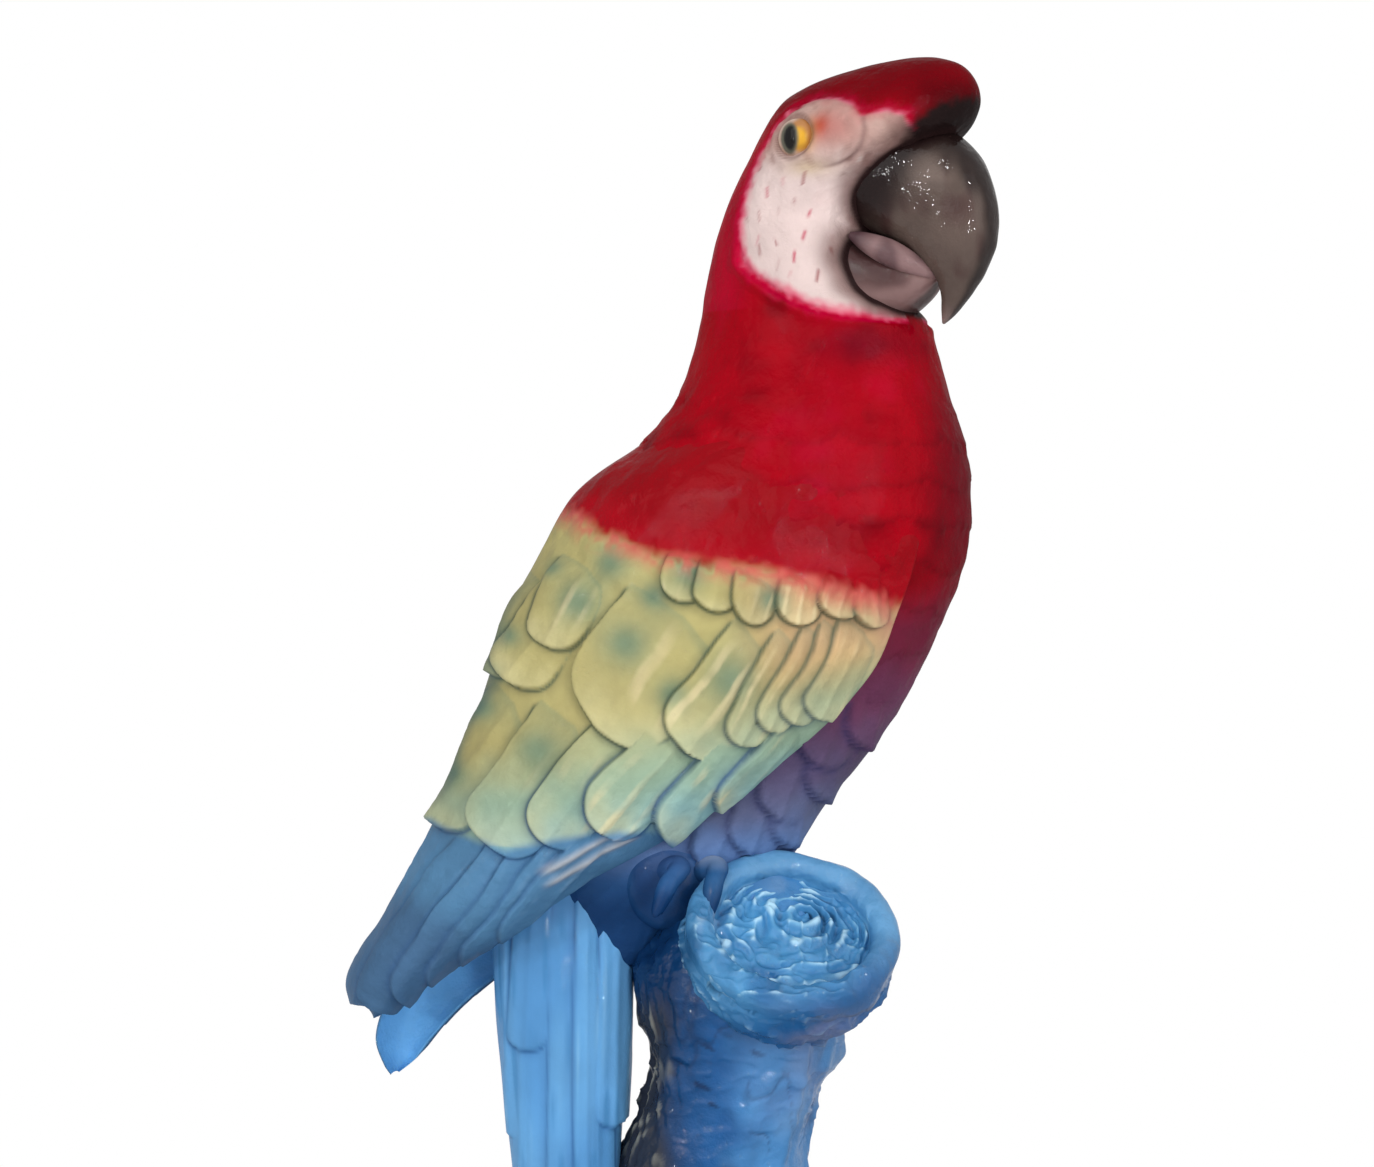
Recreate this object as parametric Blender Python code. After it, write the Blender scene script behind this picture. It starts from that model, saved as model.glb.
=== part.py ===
"""A macaw on a tree stump, slip-cast in one piece of glazed earthenware.

Everything is modelled in millimetres and scaled to metres at the end.
+X is where the breast faces, -Y is the side of the stump's cut face, +Z is up.
The foot stands on Z = 0.
"""
import math

import bmesh
import bpy
import numpy as np
from mathutils import Matrix, Vector

METRES = 0.001
SCULPT_GRID = 0.9
TRIANGLES = 10950

# The bird
BODY_SQUARENESS = 2.15
HEAD_TURN = math.radians(28.0)
HEAD_AXIS = 24.0
EYE_HEIGHT = 382.6
EYE_FORWARD = 7.4
EYE_ACROSS = 5.6
EYE_SINK = 1.8
LID_ACROSS = 7.0
LID_THICK = 1.6
FOLD_THICK = 1.7
BEAK_WIDTH = 13.0
CHIN_WIDTH = 12.0
FEATHER_STEP = 2.9
FEATHER_CROWN = 0.9
FEATHER_TILT = 1.6
FEATHER_LIFT = -0.3
FEATHER_DEPTH = 5.0
ROOT_SINK = 1.0
BELLY_LIFT = -1.4
WING_SPLIT = 235.0
WING_SPLIT_LENGTH = 95.0
FAR_WING_DROP = 18.0
THIGH_AT = (-15.0, 15.0, 177.0)
THIGH_HALVES = (15.0, 11.5, 16.0)
TOE_ROWS = (-13.0, -1.0)
TOE_SPREAD = 1.0
TAIL_RIDGE_TOP = 184.0
TAIL_RIDGES = 5

# The stump
STUMP_FACE_AT = Vector((18.0, -33.0, 161.0))
STUMP_FACE_TILT = Vector((0.14, -0.68, 0.72))
STUMP_FACE_RADIUS = 22.0
STUMP_LIP = 8.5
STUMP_FACE_SQUASH = 0.93
RING_COUNT = 5
RING_HEIGHT = 1.5
RING_ASIDE = 6.0
RING_UP = 8.0
LIP_HEIGHT = 4.0
BURR_AT = (30.0, -7.0, 126.0)
BURR_ACROSS = 5.0
ROOT_TOP = 118.0
ROOT_RIDGES = 9
CLAY_WALL = 9.0
POUR_HOLE = 9.0
POUR_HOLE_AT = 24.0
POUR_HOLE_LENGTH = 40.0


def spline_rows(rows, steps):
    """Rows on a smooth curve through the given ones, so many steps to a span."""
    rows = np.array(rows, float)
    padded = np.vstack([2 * rows[0] - rows[1], rows, 2 * rows[-1] - rows[-2]])
    result = []
    for span in range(len(rows) - 1):
        before, start, end, after = padded[span:span + 4]
        for step in range(steps):
            t = step / steps
            result.append(0.5 * (2 * start + (end - before) * t
                                 + (2 * before - 5 * start + 4 * end - after) * t ** 2
                                 + (3 * start - before - 3 * end + after) * t ** 3))
    result.append(rows[-1])
    return result


def read_rows(rows, height, columns):
    """The values of a table of level slices at a height between them."""
    return [float(np.interp(height, rows[:, 0], rows[:, column])) for column in columns]


def oval(centre, forward, side, points=40, squareness=2.0):
    """A ring of points round a centre, with its two half axes as vectors."""
    ring = []
    for index in range(points):
        turn = 2 * math.pi * index / points
        along, across = math.cos(turn), math.sin(turn)
        along = math.copysign(abs(along) ** (2 / squareness), along)
        across = math.copysign(abs(across) ** (2 / squareness), across)
        ring.append(centre + forward * along + side * across)
    return ring


def loft(shape, rings):
    """Skins a row of rings and closes both ends."""
    loops = []
    for ring in rings:
        corners = [shape.verts.new(point) for point in ring]
        pairs = zip(corners[-1:] + corners[:-1], corners)
        loops.append([shape.edges.new(pair) for pair in pairs])
    for lower, upper in zip(loops, loops[1:]):
        bmesh.ops.bridge_loops(shape, edges=lower + upper)
    for end in (loops[0], loops[-1]):
        bmesh.ops.contextual_create(shape, geom=end)


# Trunk of the body, neck and skull as level slices:
# height, back, front, half depth, share of the head's turn
BODY = (
    (150, -50, -22, 11, 0), (165, -52, 0, 16, 0), (180, -53, 18, 22, 0), (195, -56, 28.5, 27, 0),
    (210, -59, 40.5, 31, 0), (225, -60, 51, 34.5, 0), (240, -58, 58.5, 38, 0),
    (254, -53, 64.8, 40.5, 0), (268, -47, 69, 41.5, 0), (283, -39, 70.2, 40.5, 0),
    (297, -25, 68.6, 37.5, 0), (311, -14, 64, 33, 0), (323, -9.2, 61, 28.5, 0.1),
    (333, -6.8, 57.5, 26.5, 0.35), (340, -5.6, 50, 26, 0.6), (348, -4, 46, 26, 0.8),
    (358, -1.4, 45.5, 26.5, 1), (368, 2.4, 48.5, 26.5, 1), (377, 6.6, 57, 25.5, 1),
    (385, 10.5, 67, 23.8, 1), (391, 14, 70.8, 21, 1), (396, 18.5, 71, 17, 1), (400.5, 27, 69, 12.5, 1),
    (403.8, 39, 65.5, 7.5, 1), (405.6, 49, 60, 2.5, 1),
)


def body_rings():
    rings = []
    for height, back, front, depth, share in spline_rows(BODY, 3):
        turn = HEAD_TURN * share
        middle = (back + front) / 2
        reach = (front - back) / 2
        length = math.sqrt(max(reach ** 2 - (depth * math.sin(turn)) ** 2, 1.0)) / math.cos(turn)
        centre = Vector((middle, -(middle - HEAD_AXIS) * math.tan(turn), height))
        forward = Vector((math.cos(turn), -math.sin(turn), 0)) * length
        side = Vector((math.sin(turn), math.cos(turn), 0)) * depth
        rings.append(oval(centre, forward, side, 48, BODY_SQUARENESS))
    return rings


def on_head(forward, side, height):
    """A place on the turned head, from the head's own axis."""
    return Vector((HEAD_AXIS + forward * math.cos(HEAD_TURN) + side * math.sin(HEAD_TURN),
                   -forward * math.sin(HEAD_TURN) + side * math.cos(HEAD_TURN), height))


# Beaks as slices from root to tip: ridge forward and height, edge forward and height, half width
UPPER_BEAK = (
    (30, 386, 12, 364, 14), (42, 385.5, 16.5, 359.5, 13.3), (50.5, 379.5, 22.5, 356.5, 13),
    (55.3, 370.8, 28.5, 354, 12.2), (57.5, 361.8, 33.5, 350.5, 11), (57, 353, 37.5, 346.8, 9),
    (54, 345.5, 40.5, 343.2, 6.6), (49.2, 338.2, 41.8, 339, 4.4), (45.2, 333.4, 41.7, 334.6, 2.5),
    (42.4, 331, 41.7, 331.4, 0.7),
)
LOWER_BEAK = (
    (4, 350, 8, 364, 14), (9, 340.5, 14, 360, 14), (15, 334.8, 21, 356, 13.6), (23, 332.8, 29, 352, 12.4),
    (31, 334, 35, 348.5, 10), (37, 338.4, 39, 345.5, 6.6), (40.2, 342.4, 41, 344.2, 2.4),
)


def beak_rings(table, width, widest, squareness):
    rings = []
    for ridge, ridge_height, edge, edge_height, half in spline_rows(table, 3):
        outer = on_head(ridge, 0, ridge_height)
        inner = on_head(edge, 0, edge_height)
        side = (on_head(0, 1, 0) - on_head(0, 0, 0)) * half * width / widest
        rings.append(oval((outer + inner) / 2, (outer - inner) / 2, side, 28, squareness))
    return rings


def tube(shape, path, radii, points=12):
    """A round bar along a path, thick as the radii say, with closed ends."""
    path = [Vector(place) for place in path]
    rings = []
    for index, place in enumerate(path):
        before = path[max(index - 1, 0)]
        after = path[min(index + 1, len(path) - 1)]
        along = (after - before).normalized()
        side = along.cross(Vector((0.31, 0.2, 0.93))).normalized()
        rings.append(oval(place, side * radii[index], along.cross(side) * radii[index], points))
    loft(shape, rings)


# The folded wing as level slices: height, rear edge, leading edge, half depth of the bird, inner share
WING = (
    (312, -11, 38, 27, 0.1), (300, -21, 48, 35, 0.1), (285, -41.5, 54, 40.5, 0.1),
    (267, -52.5, 53, 43.5, 0.1), (250, -60.8, 47.5, 44.5, 0.1), (233, -66.6, 40, 43.5, 0.1),
    (215, -72.4, 23, 42.5, 0.15), (200, -78.2, 3, 40.5, 0.25), (187, -84.5, -17, 38, 0.4),
    (175, -89, -39, 34, 0.5), (163, -95, -60, 28, 0.58), (153, -101, -77, 23, 0.62),
    (145, -104, -87.5, 19, 0.66), (139, -102, -94, 16, 0.72), (136, -100, -98, 14, 0.8),
)
WING_CREST = 0.1
REAR_WRAP = 1.12
LEAD_WRAP = 1.25


def wing_round(across):
    """How far the wing bulges, from its rear edge at -1 to its leading edge at 1."""
    wrap = REAR_WRAP if across < WING_CREST else LEAD_WRAP
    return math.sqrt(max(1 - ((across - WING_CREST) / wrap) ** 2, 0.02))


WING_CURVE = np.array(sorted(tuple(row) for row in spline_rows(WING, 6)))


def on_wing(x, height, rise):
    """A place at this rise over the near wing's outer face, kept inside the wing's outline."""
    rear, lead, depth = read_rows(WING_CURVE, height, (1, 2, 3))
    x = min(max(x, rear - 0.8), lead + 0.8)
    across = 2 * (x - rear) / (lead - rear) - 1
    across = min(max(across, -1), 1)
    return x, depth * wing_round(across) + rise, height


def to_side(point, far):
    """Carries a place on the near wing over to the far wing, whose tip hangs lower."""
    x, distance, height = point
    if not far:
        return Vector((x, -distance, height))
    drop = min(max((WING_SPLIT - height) / WING_SPLIT_LENGTH, 0), 1) ** 1.5
    return Vector((x + 0.25 * FAR_WING_DROP * drop, distance, height - FAR_WING_DROP * drop))


def wing_core(shape, far):
    rings = []
    for height, rear, lead, depth, inner in spline_rows(WING, 2):
        outer_edge = []
        inner_edge = []
        for step in range(17):
            across = -1 + 2 * step / 16
            x = (rear + lead) / 2 + across * (lead - rear) / 2
            distance = depth * wing_round(across)
            outer_edge.append(to_side((x, distance, height), far))
            if 0 < step < 16:
                inner_edge.append(to_side((x, distance * inner, height), far))
        rings.append(outer_edge + inner_edge[::-1])
    loft(shape, rings)


# Feathers of the near wing: tip x and height, root x and height, half width
SMALL_COVERTS = (
    (-50, 240, -38, 268, 8), (-13.5, 253, -9, 268, 6.5), (-5, 250, 0, 266, 6),
    (5.5, 247, 11, 263, 7), (20, 246.5, 24, 262, 7.5), (32, 248.5, 36, 262, 6.5), (42, 246, 43, 262, 5.5),
)
MIDDLE_COVERTS = (
    (-67.5, 232, -50, 262, 8), (-61, 229, -42, 262, 9), (-34, 215.5, -14, 258, 19),
    (-12.5, 209.5, 6, 250, 12), (2.5, 213, 19, 249, 7), (11, 217, 27, 249, 6), (18, 218, 34, 249, 6),
    (25, 216.5, 41, 249, 7.5),
)
GREAT_COVERTS = (
    (-82, 189, -62, 236, 9), (-65, 183, -46, 228, 11.5), (-50.5, 186, -34, 224, 9),
    (-36, 190, -20, 222, 9.5), (-17.5, 186.5, 2, 221, 9), (-1.5, 194, 18, 223, 6.5),
)
PRIMARIES = (
    (-103, 141, -74, 196, 6.5), (-98, 140, -64, 194, 6), (-91, 141.5, -55, 192, 6),
    (-83, 146, -45, 192, 6), (-74, 152, -36, 192, 6), (-63, 159, -27, 194, 6.5),
)
FEATHER_ROWS = (PRIMARIES, GREAT_COVERTS, MIDDLE_COVERTS, SMALL_COVERTS)


def feather(shape, tip, root, half_width, lift, far, ground):
    """A blade with a round tip that lies on the wing, low at its root and proud at its tip."""
    tip, root = Vector(tip), Vector(root)
    length = (tip - root).length
    along = (tip - root) / length
    across = Vector((along.y, -along.x))
    blade = bmesh.ops.create_grid(shape, x_segments=12, y_segments=6, size=1)
    for corner in blade["verts"]:
        run = (corner.co.x + 1) / 2
        reach = run * length
        round_part = min(half_width * 1.1, length * 0.5)
        beyond = max(reach - (length - round_part), 0) / round_part
        width = half_width * math.sqrt(max(1 - beyond ** 2.4, 0.03))
        spot = root + along * reach + across * corner.co.y * width
        crown = FEATHER_CROWN * (1 - 0.35 * corner.co.y ** 2)
        proud = lift + FEATHER_STEP * run + crown + FEATHER_TILT * corner.co.y
        grown = min(run / 0.4, 1)
        grown = grown * grown * (3 - 2 * grown)
        corner.co = to_side(ground(spot.x, spot.y, (proud + ROOT_SINK) * grown - ROOT_SINK), far)
    faces = list({face for corner in blade["verts"] for face in corner.link_faces})
    before = set(shape.verts)
    bmesh.ops.solidify(shape, geom=faces, thickness=0.5)
    inward = Vector((0, -FEATHER_DEPTH if far else FEATHER_DEPTH, 0))
    for corner in shape.verts:
        if corner not in before:
            corner.co += inward


def wing_feathers(shape, far):
    for row in FEATHER_ROWS:
        for tip_x, tip_height, root_x, root_height, half_width in row:
            tip, root = (tip_x, tip_height), (root_x, root_height)
            feather(shape, tip, root, half_width, FEATHER_LIFT, far, on_wing)


# Feathers of the belly: tip x and height, root x and height, half width
BELLY_FEATHERS = (
    (-5, 178.5, 3, 196, 8), (6, 183, 13, 200, 8.5), (18, 184, 24, 201, 8), (14, 193, 22, 211, 9),
    (28, 197, 33, 213, 8), (25, 208, 33, 225, 8.5), (39, 212, 44, 228, 8),
)


BODY_CURVE = np.array(spline_rows(BODY, 6))


def on_body(x, height, rise):
    """A place at this rise over the near side of the body."""
    back, front, depth = read_rows(BODY_CURVE, height, (1, 2, 3))
    x = min(max(x, back + 2), front - 2)
    across = abs(2 * (x - back) / (front - back) - 1)
    return x, depth * (1 - across ** BODY_SQUARENESS) ** (1 / BODY_SQUARENESS) + rise, height


def belly_feathers(shape, far):
    for tip_x, tip_height, root_x, root_height, half_width in BELLY_FEATHERS:
        feather(shape, (tip_x, tip_height), (root_x, root_height), half_width, BELLY_LIFT, far, on_body)


# The tail as level slices: height, left, right, half depth
TAIL = (
    (196, -58, -27, 12), (178, -62, -27, 13), (160, -64, -26.5, 13.5), (140, -63.2, -26.5, 13.5),
    (115, -61, -28.5, 13), (92, -58.5, -30, 12.5), (68, -56.5, -31, 11.5), (44, -54, -33.5, 10),
    (26, -50, -36.5, 8), (16, -46, -40, 5),
)


def tail_forms(shape):
    rings = [oval(Vector(((left + right) / 2, 0, height)), Vector(((right - left) / 2, 0, 0)),
                  Vector((0, depth, 0)), 32, 2.6)
             for height, left, right, depth in spline_rows(TAIL, 2)]
    loft(shape, rings)
    rows = np.array(sorted(TAIL))
    for side in (-1, 1):
        for ridge in range(TAIL_RIDGES):
            share = (ridge + 0.5) / TAIL_RIDGES
            end = 100 - 34 * abs(share - 0.5) - 46 * (1 - share)
            path = []
            radii = []
            for step in range(14):
                height = TAIL_RIDGE_TOP + (end - TAIL_RIDGE_TOP) * step / 13
                left, right, depth = read_rows(rows, height, (1, 2, 3))
                x = left + (right - left) * (0.06 + 0.88 * share)
                bulge = math.sqrt(max(1 - abs(2 * share - 1) ** 2.6, 0.1))
                path.append((x, side * (depth * bulge - 2.0), height))
                radii.append((right - left) / TAIL_RIDGES * (0.6 if step < 13 else 0.3))
            tube(shape, path, radii, 10)


# The stump's trunk as level slices: height, left, right, half depth, sideways shift
TRUNK = (
    (-4, -66, 62, 55, 0), (6, -64, 60, 53, 0), (16, -56, 51, 46, 0), (32, -46, 40, 37, 0),
    (55, -37, 30.5, 30, 0), (78, -32, 24.5, 27, 0), (96, -28, 22.5, 26, 0), (110, -23, 25, 25, -2),
    (124, -20.5, 30, 26, -5), (138, -24.5, 34, 28, -7), (152, -25, 34, 27, -7), (166, -17, 34, 24, -4),
    (178, -8, 30, 17, -1),
)


def stump_forms(shape):
    rings = []
    for height, left, right, depth, shift in spline_rows(TRUNK, 3):
        centre = Vector(((left + right) / 2, shift, height))
        rings.append(oval(centre, Vector(((right - left) / 2, 0, 0)), Vector((0, depth, 0)), 40, 2.1))
    loft(shape, rings)


def cut_face(shape):
    """The sawn end: growth rings inside a rolled lip of bark, turned about its own axis."""
    outer = STUMP_FACE_RADIUS + STUMP_LIP
    profile = []
    for step in range(RING_COUNT * 4 + 1):
        radius = STUMP_FACE_RADIUS * step / (RING_COUNT * 4)
        wave = 2 * math.pi * RING_COUNT * radius / STUMP_FACE_RADIUS
        profile.append((radius, RING_HEIGHT * math.cos(wave)))
    for step in range(9):
        turn = math.pi * step / 8
        profile.append((STUMP_FACE_RADIUS + STUMP_LIP / 2 * (1 - math.cos(turn)),
                        LIP_HEIGHT * math.sin(turn) + RING_HEIGHT))
    profile += [(outer, -4), (outer - 2, -11), (outer - 6, -19), (outer - 12, -28), (outer - 18, -36)]
    axis = STUMP_FACE_TILT.normalized()
    across = axis.cross(Vector((0, 0, 1))).normalized()
    up = across.cross(axis)
    rings = []
    for radius, rise in profile[1:]:
        slide = max(1 - radius / STUMP_FACE_RADIUS, 0)
        centre = STUMP_FACE_AT + axis * rise + (up * RING_UP - across * RING_ASIDE) * slide
        wobble = 0.05 * math.sin(radius * 1.3) * min(radius / 6, 1)
        wide = across * radius * (1 + wobble)
        tall = up * radius * (STUMP_FACE_SQUASH - wobble)
        rings.append(oval(centre, wide, tall, 44))
    loft(shape, rings)


def roots(shape):
    """Ridges of bark that run down the trunk and out into the foot."""
    rows = np.array(sorted(TRUNK))
    for ridge in range(ROOT_RIDGES):
        around = 2 * math.pi * (ridge + 0.35 * math.sin(ridge * 2.2)) / ROOT_RIDGES
        top = ROOT_TOP * (1 + 0.2 * math.sin(ridge * 1.7))
        path = []
        radii = []
        for step in range(12):
            height = top * (1 - step / 11) + 1
            left, right, depth, shift = read_rows(rows, height, (1, 2, 3, 4))
            turn = around + 0.12 * math.sin(height / 17 + ridge)
            path.append(((left + right) / 2 + (right - left) / 2 * math.cos(turn) * 0.97,
                         shift + depth * math.sin(turn) * 0.97, height))
            radii.append(1.6 + 5.4 * (step / 11) ** 1.5)
        tube(shape, path, radii, 10)


# A toe from thigh to claw: forward shift, share of the spread, across, back, height, thickness
TOE_BEND = (
    (-4, 0, 19, -2, 180, 4.2), (0, 0, 24, -3, 180.5, 3.7), (0, 1, 28.5, -4, 175, 3.2),
    (0, 1.3, 31.5, -4, 165, 1.9),
)


def burr(shape):
    """A knot that stands out of the bark under the cut face."""
    bmesh.ops.create_uvsphere(shape, u_segments=20, v_segments=12, radius=BURR_ACROSS,
                              matrix=Matrix.Translation(BURR_AT))


def thighs(shape):
    for side in (-1, 1):
        x, across, height = THIGH_AT
        place = Matrix.Translation((x, side * across, height)) @ Matrix.Diagonal((*THIGH_HALVES, 1))
        bmesh.ops.create_uvsphere(shape, u_segments=24, v_segments=16, radius=1, matrix=place)


def toes(shape):
    """Thick toes that leave the thighs, hook over the branch and end in a blunt claw."""
    for side in (-1, 1):
        for x, spread in zip(TOE_ROWS, (-TOE_SPREAD, TOE_SPREAD)):
            path = [(x + shift + spread * bend, side * across + back, height)
                    for shift, bend, across, back, height, thick in TOE_BEND]
            tube(shape, path, [row[-1] for row in TOE_BEND], 12)


def head_side(forward, height):
    """Half width of the skull at this place forward of the head's axis."""
    back, front, depth = read_rows(np.array(BODY), height, (1, 2, 3))
    reach = (front - back) / 2
    length = math.sqrt(max(reach ** 2 - (depth * math.sin(HEAD_TURN)) ** 2, 1.0)) / math.cos(HEAD_TURN)
    middle = ((back + front) / 2 - HEAD_AXIS) / math.cos(HEAD_TURN)
    share = min(abs((forward - middle) / length), 1)
    return depth * (1 - share ** BODY_SQUARENESS) ** (1 / BODY_SQUARENESS)


def eyes(shape):
    surface = head_side(EYE_FORWARD, EYE_HEIGHT)
    for side in (-1, 1):
        centre = on_head(EYE_FORWARD, side * (surface - EYE_SINK), EYE_HEIGHT)
        place = Matrix.Translation(centre) @ Matrix.Rotation(-HEAD_TURN, 4, "Z")
        place = place @ Matrix.Diagonal((1, 0.8, 1, 1))
        bmesh.ops.create_uvsphere(shape, u_segments=20, v_segments=12, radius=EYE_ACROSS, matrix=place)
        path = []
        for step in range(17):
            around = 2 * math.pi * step / 16
            forward = EYE_FORWARD + LID_ACROSS * math.cos(around)
            height = EYE_HEIGHT + LID_ACROSS * 0.94 * math.sin(around)
            path.append(on_head(forward, side * (head_side(forward, height) + 0.3), height))
        tube(shape, path, [LID_THICK] * len(path), 8)


# The fold of skin under the cheek, forward of the head's axis and height
CHEEK_FOLD = (
    (-10, 350), (-7, 345.4), (-1.6, 341.2), (4.4, 337.8), (11.4, 334.6), (18.4, 332.4), (25.4, 331.2),
    (31, 331),
)


def cheek_folds(shape):
    for side in (-1, 1):
        path = [on_head(forward, side * (head_side(forward, height) - 0.5), height)
                for forward, height in CHEEK_FOLD]
        ends = len(path) + 1
        thick = [FOLD_THICK * math.sin(math.pi * step / ends) ** 0.5 for step in range(1, ends)]
        tube(shape, path, thick, 8)


# Where the cavity passes from the trunk into the bird: height, left, right, half depth, sideways shift
CAVITY_WAIST = [(148, -10, 14, 11, -5), (165, -14, 8, 9, -3), (180, -20, 2, 10, 0), (195, -38, 12, 14, 0)]


def cavity(shape):
    """The room inside the cast wall, with the pour hole that opens it in the foot."""
    rings = []
    trunk = [(height, left + CLAY_WALL, right - CLAY_WALL, depth - CLAY_WALL, shift)
             for height, left, right, depth, shift in TRUNK[2:9]]
    bird = [(height, back + CLAY_WALL, front - CLAY_WALL, depth - CLAY_WALL, 0)
            for height, back, front, depth, share in BODY[4:13]]
    walls = trunk + CAVITY_WAIST + bird
    for height, left, right, depth, shift in walls:
        rings.append(oval(Vector(((left + right) / 2, shift, height)), Vector(((right - left) / 2, 0, 0)),
                          Vector((0, depth, 0)), 20))
    loft(shape, rings)


def pour_hole(shape):
    bmesh.ops.create_cone(shape, cap_ends=True, segments=24, radius1=POUR_HOLE, radius2=POUR_HOLE,
                          depth=POUR_HOLE_LENGTH,
                          matrix=Matrix.Translation((POUR_HOLE_AT, 0, 0)))


def carve(item, name, make):
    """Takes a form away from the object by a Boolean."""
    shape = bmesh.new()
    make(shape)
    bmesh.ops.recalc_face_normals(shape, faces=shape.faces)
    mesh = bpy.data.meshes.new(name)
    shape.to_mesh(mesh)
    shape.free()
    cutter = bpy.data.objects.new(name, mesh)
    bpy.context.scene.collection.objects.link(cutter)
    cut = item.modifiers.new(name, "BOOLEAN")
    cut.operation = "DIFFERENCE"
    cut.solver = "EXACT"
    cut.object = cutter
    settle(item)
    bpy.data.objects.remove(cutter, do_unlink=True)


def remove_old_objects():
    for old in list(bpy.data.objects):
        bpy.data.objects.remove(old, do_unlink=True)


def glaze():
    material = bpy.data.materials.new("glazed_ceramic")
    material.use_nodes = True
    shader = material.node_tree.nodes["Principled BSDF"]
    shader.inputs["Base Color"].default_value = (0.31, 0.005, 0.02, 1)
    shader.inputs["Roughness"].default_value = 0.16
    shader.inputs["Metallic"].default_value = 0
    return material


def settle(item):
    """Applies the modifiers that are on an object."""
    depsgraph = bpy.context.evaluated_depsgraph_get()
    item.data = bpy.data.meshes.new_from_object(item.evaluated_get(depsgraph))
    item.modifiers.clear()


def build():
    remove_old_objects()
    shape = bmesh.new()
    loft(shape, body_rings())
    loft(shape, beak_rings(UPPER_BEAK, BEAK_WIDTH, 13, 2.3))
    loft(shape, beak_rings(LOWER_BEAK, CHIN_WIDTH, 12, 2.2))
    eyes(shape)
    cheek_folds(shape)
    for far in (False, True):
        wing_core(shape, far)
        wing_feathers(shape, far)
        belly_feathers(shape, far)
    tail_forms(shape)
    stump_forms(shape)
    cut_face(shape)
    roots(shape)
    burr(shape)
    thighs(shape)
    toes(shape)
    bmesh.ops.recalc_face_normals(shape, faces=shape.faces)
    mesh = bpy.data.meshes.new("parrot_figurine")
    shape.to_mesh(mesh)
    shape.free()
    bird = bpy.data.objects.new("parrot_figurine", mesh)
    bpy.context.scene.collection.objects.link(bird)
    fuse = bird.modifiers.new("fuse", "REMESH")
    fuse.mode = "VOXEL"
    fuse.voxel_size = SCULPT_GRID
    soften = bird.modifiers.new("soften", "SMOOTH")
    soften.factor = 0.35
    soften.iterations = 1
    settle(bird)
    thin = bird.modifiers.new("thin", "DECIMATE")
    thin.ratio = TRIANGLES / (2 * len(bird.data.polygons))
    settle(bird)
    shape = bmesh.new()
    shape.from_mesh(bird.data)
    cut = bmesh.ops.bisect_plane(shape, geom=shape.verts[:] + shape.edges[:] + shape.faces[:],
                                 plane_co=(0, 0, 0), plane_no=(0, 0, 1), clear_inner=True)
    rim = [item for item in cut["geom_cut"] if isinstance(item, bmesh.types.BMEdge)]
    bmesh.ops.contextual_create(shape, geom=rim)
    shape.to_mesh(bird.data)
    shape.free()
    carve(bird, "cavity", cavity)
    carve(bird, "pour_hole", pour_hole)
    bird.data.transform(Matrix.Scale(METRES, 4))
    bird.data.materials.clear()
    bird.data.materials.append(glaze())
    for polygon in bird.data.polygons:
        polygon.use_smooth = True
    return bird


build()
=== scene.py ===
import math

import bmesh
import bpy
import numpy as np
from mathutils import Matrix, Vector
from mathutils.bvhtree import BVHTree


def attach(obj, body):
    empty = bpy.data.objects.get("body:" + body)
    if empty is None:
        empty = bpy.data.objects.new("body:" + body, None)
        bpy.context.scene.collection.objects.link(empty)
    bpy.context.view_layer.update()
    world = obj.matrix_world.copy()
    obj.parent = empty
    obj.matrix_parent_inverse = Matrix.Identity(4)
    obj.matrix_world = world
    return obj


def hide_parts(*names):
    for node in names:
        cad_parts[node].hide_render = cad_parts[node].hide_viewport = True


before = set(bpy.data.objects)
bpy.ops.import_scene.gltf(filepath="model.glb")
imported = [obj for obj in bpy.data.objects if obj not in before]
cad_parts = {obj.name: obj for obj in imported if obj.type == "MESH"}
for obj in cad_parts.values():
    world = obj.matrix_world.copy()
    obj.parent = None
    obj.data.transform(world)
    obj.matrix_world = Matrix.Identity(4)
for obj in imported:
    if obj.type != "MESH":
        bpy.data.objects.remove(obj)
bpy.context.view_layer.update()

# The studio: a pale floor that turns to plain white away from the bird, two wide windows, a soft lamp
# behind and six tiny lamps for glints, and a camera that looks at the side with the stump's cut face.
MM = 0.001
VIEW_X = -10.8
VIEW_HEIGHT = 258.4
AIM = Vector((VIEW_X, 0, VIEW_HEIGHT)) * MM
CAMERA_REACH = 1088 * MM
FLOOR_SIZE = 3.0
FLOOR_FADE_FROM = 0.24
FLOOR_FADE_TO = 0.46
SPARK_PLACES = ((-0.75, -1.3, 0.95), (0.95, -1.1, 0.85), (0.5, -1.5, 0.1), (-1.0, -1.2, 0.3),
                (0.1, -1.2, 1.4), (0.6, -1.5, 0.6))
SPARK_WATTS = 2.8
SPARK_SIZE = 0.04

lens = bpy.data.cameras.new("camera")
lens.lens = 100
lens.sensor_width = 36
camera = bpy.data.objects.new("camera", lens)
camera.location = AIM - Vector((0, CAMERA_REACH, 0))
camera.rotation_euler = (math.pi / 2, 0, 0)
bpy.context.scene.collection.objects.link(camera)
bpy.context.scene.camera = camera
bpy.context.scene.view_settings.view_transform = "Standard"


def softbox(name, place, watts, size, tint):
    """A square lamp that faces the bird."""
    lamp = bpy.data.lights.new(name, "AREA")
    lamp.energy = watts
    lamp.size = size
    lamp.color = tint
    stand = bpy.data.objects.new(name, lamp)
    stand.location = place
    stand.rotation_euler = (AIM - Vector(place)).to_track_quat("-Z", "Y").to_euler()
    bpy.context.scene.collection.objects.link(stand)


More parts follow.
